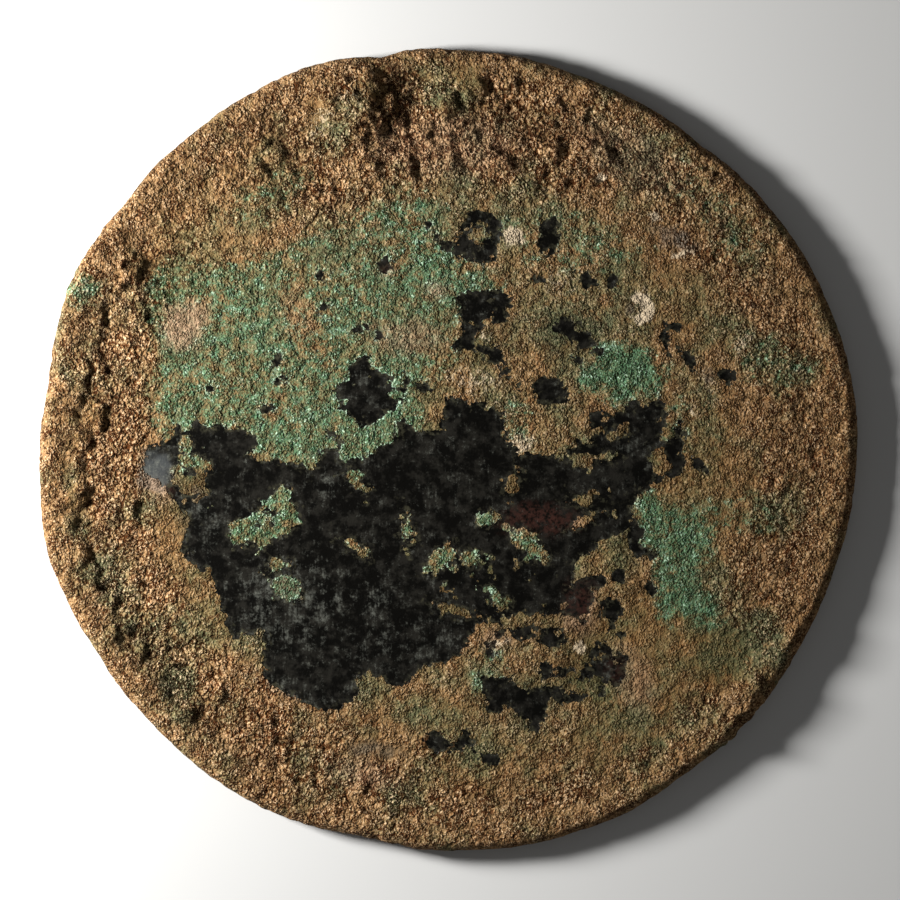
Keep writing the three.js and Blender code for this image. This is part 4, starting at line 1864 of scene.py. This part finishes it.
@dataclass(frozen=True)
class BronzeSkin:
    """The whole finish of the mirror."""

    crust: CrustFinish = CrustFinish()
    malachite: MalachiteFinish = MalachiteFinish()
    deposit: DepositFinish = DepositFinish()
    patina: PolishFinish = PolishFinish()
    roughness: Ramp = Ramp(0.0, 1.0, 0.9, 0.36)
    specular: float = 0.1
    grain_height: Ramp = Ramp(0.0, 1.0, 1.0, 0.04)

    def material(self) -> bpy.types.Material:
        """Makes the material.

        Returns:
            The new material.
        """
        material = bpy.data.materials.new("corroded_bronze")
        material.use_nodes = True
        graph = Graph(material.node_tree)
        shader = material.node_tree.nodes["Principled BSDF"]
        surface = Surface(graph)
        colour = self.crust.colour(graph, surface)
        colour = self.malachite.colour(graph, surface, colour)
        colour = self.deposit.colour(graph, surface, colour)
        colour = graph.blend(surface.polish, colour, self.patina.colour(graph, surface))
        graph.feed(shader.inputs["Base Color"], colour)
        graph.feed(shader.inputs["Roughness"], graph.ramp(surface.polish, self.roughness))
        shader.inputs["Specular IOR Level"].default_value = self.specular
        crust = graph.maths("ADD", surface.height, surface.edge_height)
        bump = graph.add("ShaderNodeBump")
        bump.inputs["Strength"].default_value = 1.0
        bump.inputs["Distance"].default_value = MM
        graph.feed(bump.inputs["Height"], graph.times(crust, graph.ramp(surface.polish, self.grain_height)))
        graph.feed(shader.inputs["Normal"], bump.outputs[0])
        return material


@dataclass(frozen=True)
class Lamp:
    """A square soft light that faces the mirror.

    Its direction is in degrees, from the mirror's right and up from the floor. Its distance and side are in
    metres and its power in watts.
    """

    name: str
    azimuth: float
    elevation: float
    distance: float
    side: float
    power: float

    def hang(self) -> None:
        """Adds the light to the scene."""
        lamp = bpy.data.lights.new(self.name, "AREA")
        lamp.energy = self.power
        lamp.size = self.side
        light = bpy.data.objects.new(self.name, lamp)
        turn = math.radians(self.azimuth)
        lift = math.radians(self.elevation)
        toward = Vector((math.cos(turn) * math.cos(lift), math.sin(turn) * math.cos(lift), math.sin(lift)))
        light.location = toward * self.distance
        light.rotation_euler = toward.to_track_quat("Z", "Y").to_euler()
        light.visible_camera = False
        bpy.context.scene.collection.objects.link(light)


@dataclass(frozen=True)
class Studio:
    """A pale floor, soft light from the left and a camera that looks straight down.

    The image has the mirror's middle at the pixel `image_middle`, counted from its left and top.
    """

    millimetres_per_pixel: float = 160 / 811
    image_side: int = 900
    image_middle: Point = (449.0, 449.5)
    lens: float = 150.0
    sensor_width: float = 36.0
    floor_side: float = 8.0
    floor_colour: Colour = (0.5, 0.495, 0.48)
    floor_roughness: float = 0.9
    world_light: float = 0.09
    lamps: tuple[Lamp, ...] = (
        Lamp("key_light", azimuth=171.0, elevation=22.0, distance=0.35, side=0.075, power=5.1),
        Lamp("fill_light", azimuth=-30.0, elevation=30.0, distance=1.4, side=1.0, power=1.5),
    )

    @property
    def camera_distance(self) -> float:
        """How far the camera is above the face, in millimetres, for an image as wide as the photo."""
        return self.image_side * self.millimetres_per_pixel * self.lens / self.sensor_width

    def build(self, face_height: float) -> None:
        """Makes the floor, the lights and the camera.

        Args:
            face_height: How high the mirror's face is above the floor, in metres.
        """
        self._floor()
        for lamp in self.lamps:
            lamp.hang()
        self._world()
        self._camera(face_height)

    def _floor(self) -> None:
        """Makes the floor."""
        half = self.floor_side / 2
        mesh = bpy.data.meshes.new("floor")
        corners = [(-half, -half, 0), (half, -half, 0), (half, half, 0), (-half, half, 0)]
        mesh.from_pydata(corners, [], [(0, 1, 2, 3)])
        floor = bpy.data.objects.new("floor", mesh)
        bpy.context.scene.collection.objects.link(floor)
        material = bpy.data.materials.new("floor")
        material.use_nodes = True
        shader = material.node_tree.nodes["Principled BSDF"]
        shader.inputs["Base Color"].default_value = (*self.floor_colour, 1.0)
        shader.inputs["Roughness"].default_value = self.floor_roughness
        mesh.materials.append(material)

    def _world(self) -> None:
        """Makes the soft light from all round."""
        world = bpy.data.worlds.new("studio")
        world.use_nodes = True
        background = world.node_tree.nodes["Background"]
        background.inputs["Color"].default_value = (1.0, 1.0, 1.0, 1.0)
        background.inputs["Strength"].default_value = self.world_light
        scene = bpy.context.scene
        scene.world = world
        scene.view_settings.view_transform = "Standard"

    def _camera(self, face_height: float) -> None:
        """Places the camera over the mirror.

        Args:
            face_height: How high the mirror's face is above the floor, in metres.
        """
        data = bpy.data.cameras.new("camera")
        data.lens = self.lens
        data.sensor_width = self.sensor_width
        camera = bpy.data.objects.new("camera", data)
        across = (self.image_side / 2 - self.image_middle[0]) * self.millimetres_per_pixel * MM
        up = (self.image_middle[1] - self.image_side / 2) * self.millimetres_per_pixel * MM
        camera.location = (across, up, face_height + self.camera_distance * MM)
        bpy.context.scene.collection.objects.link(camera)
        bpy.context.scene.camera = camera


def main() -> None:
    """Builds the studio and the mirror."""
    logging.basicConfig(level=logging.INFO, format="%(name)s: %(message)s")
    studio = Studio()
    studio.build(face_height=cad_box[1].z)
    log.info("studio: a floor, %d lights, a camera %.0f mm up", len(studio.lamps), studio.camera_distance)

    disc = MirrorDisc(SolidForm(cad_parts["mirror_disc"]), Relief())
    mirror = disc.build()
    mirror.data.materials.append(BronzeSkin().material())
    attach(mirror, "root")
    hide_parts("mirror_disc")
    log.info("mirror: %d triangles, mean radius %.1f mm", len(mirror.data.polygons), disc.mean_radius)


if __name__ == "__main__":
    main()
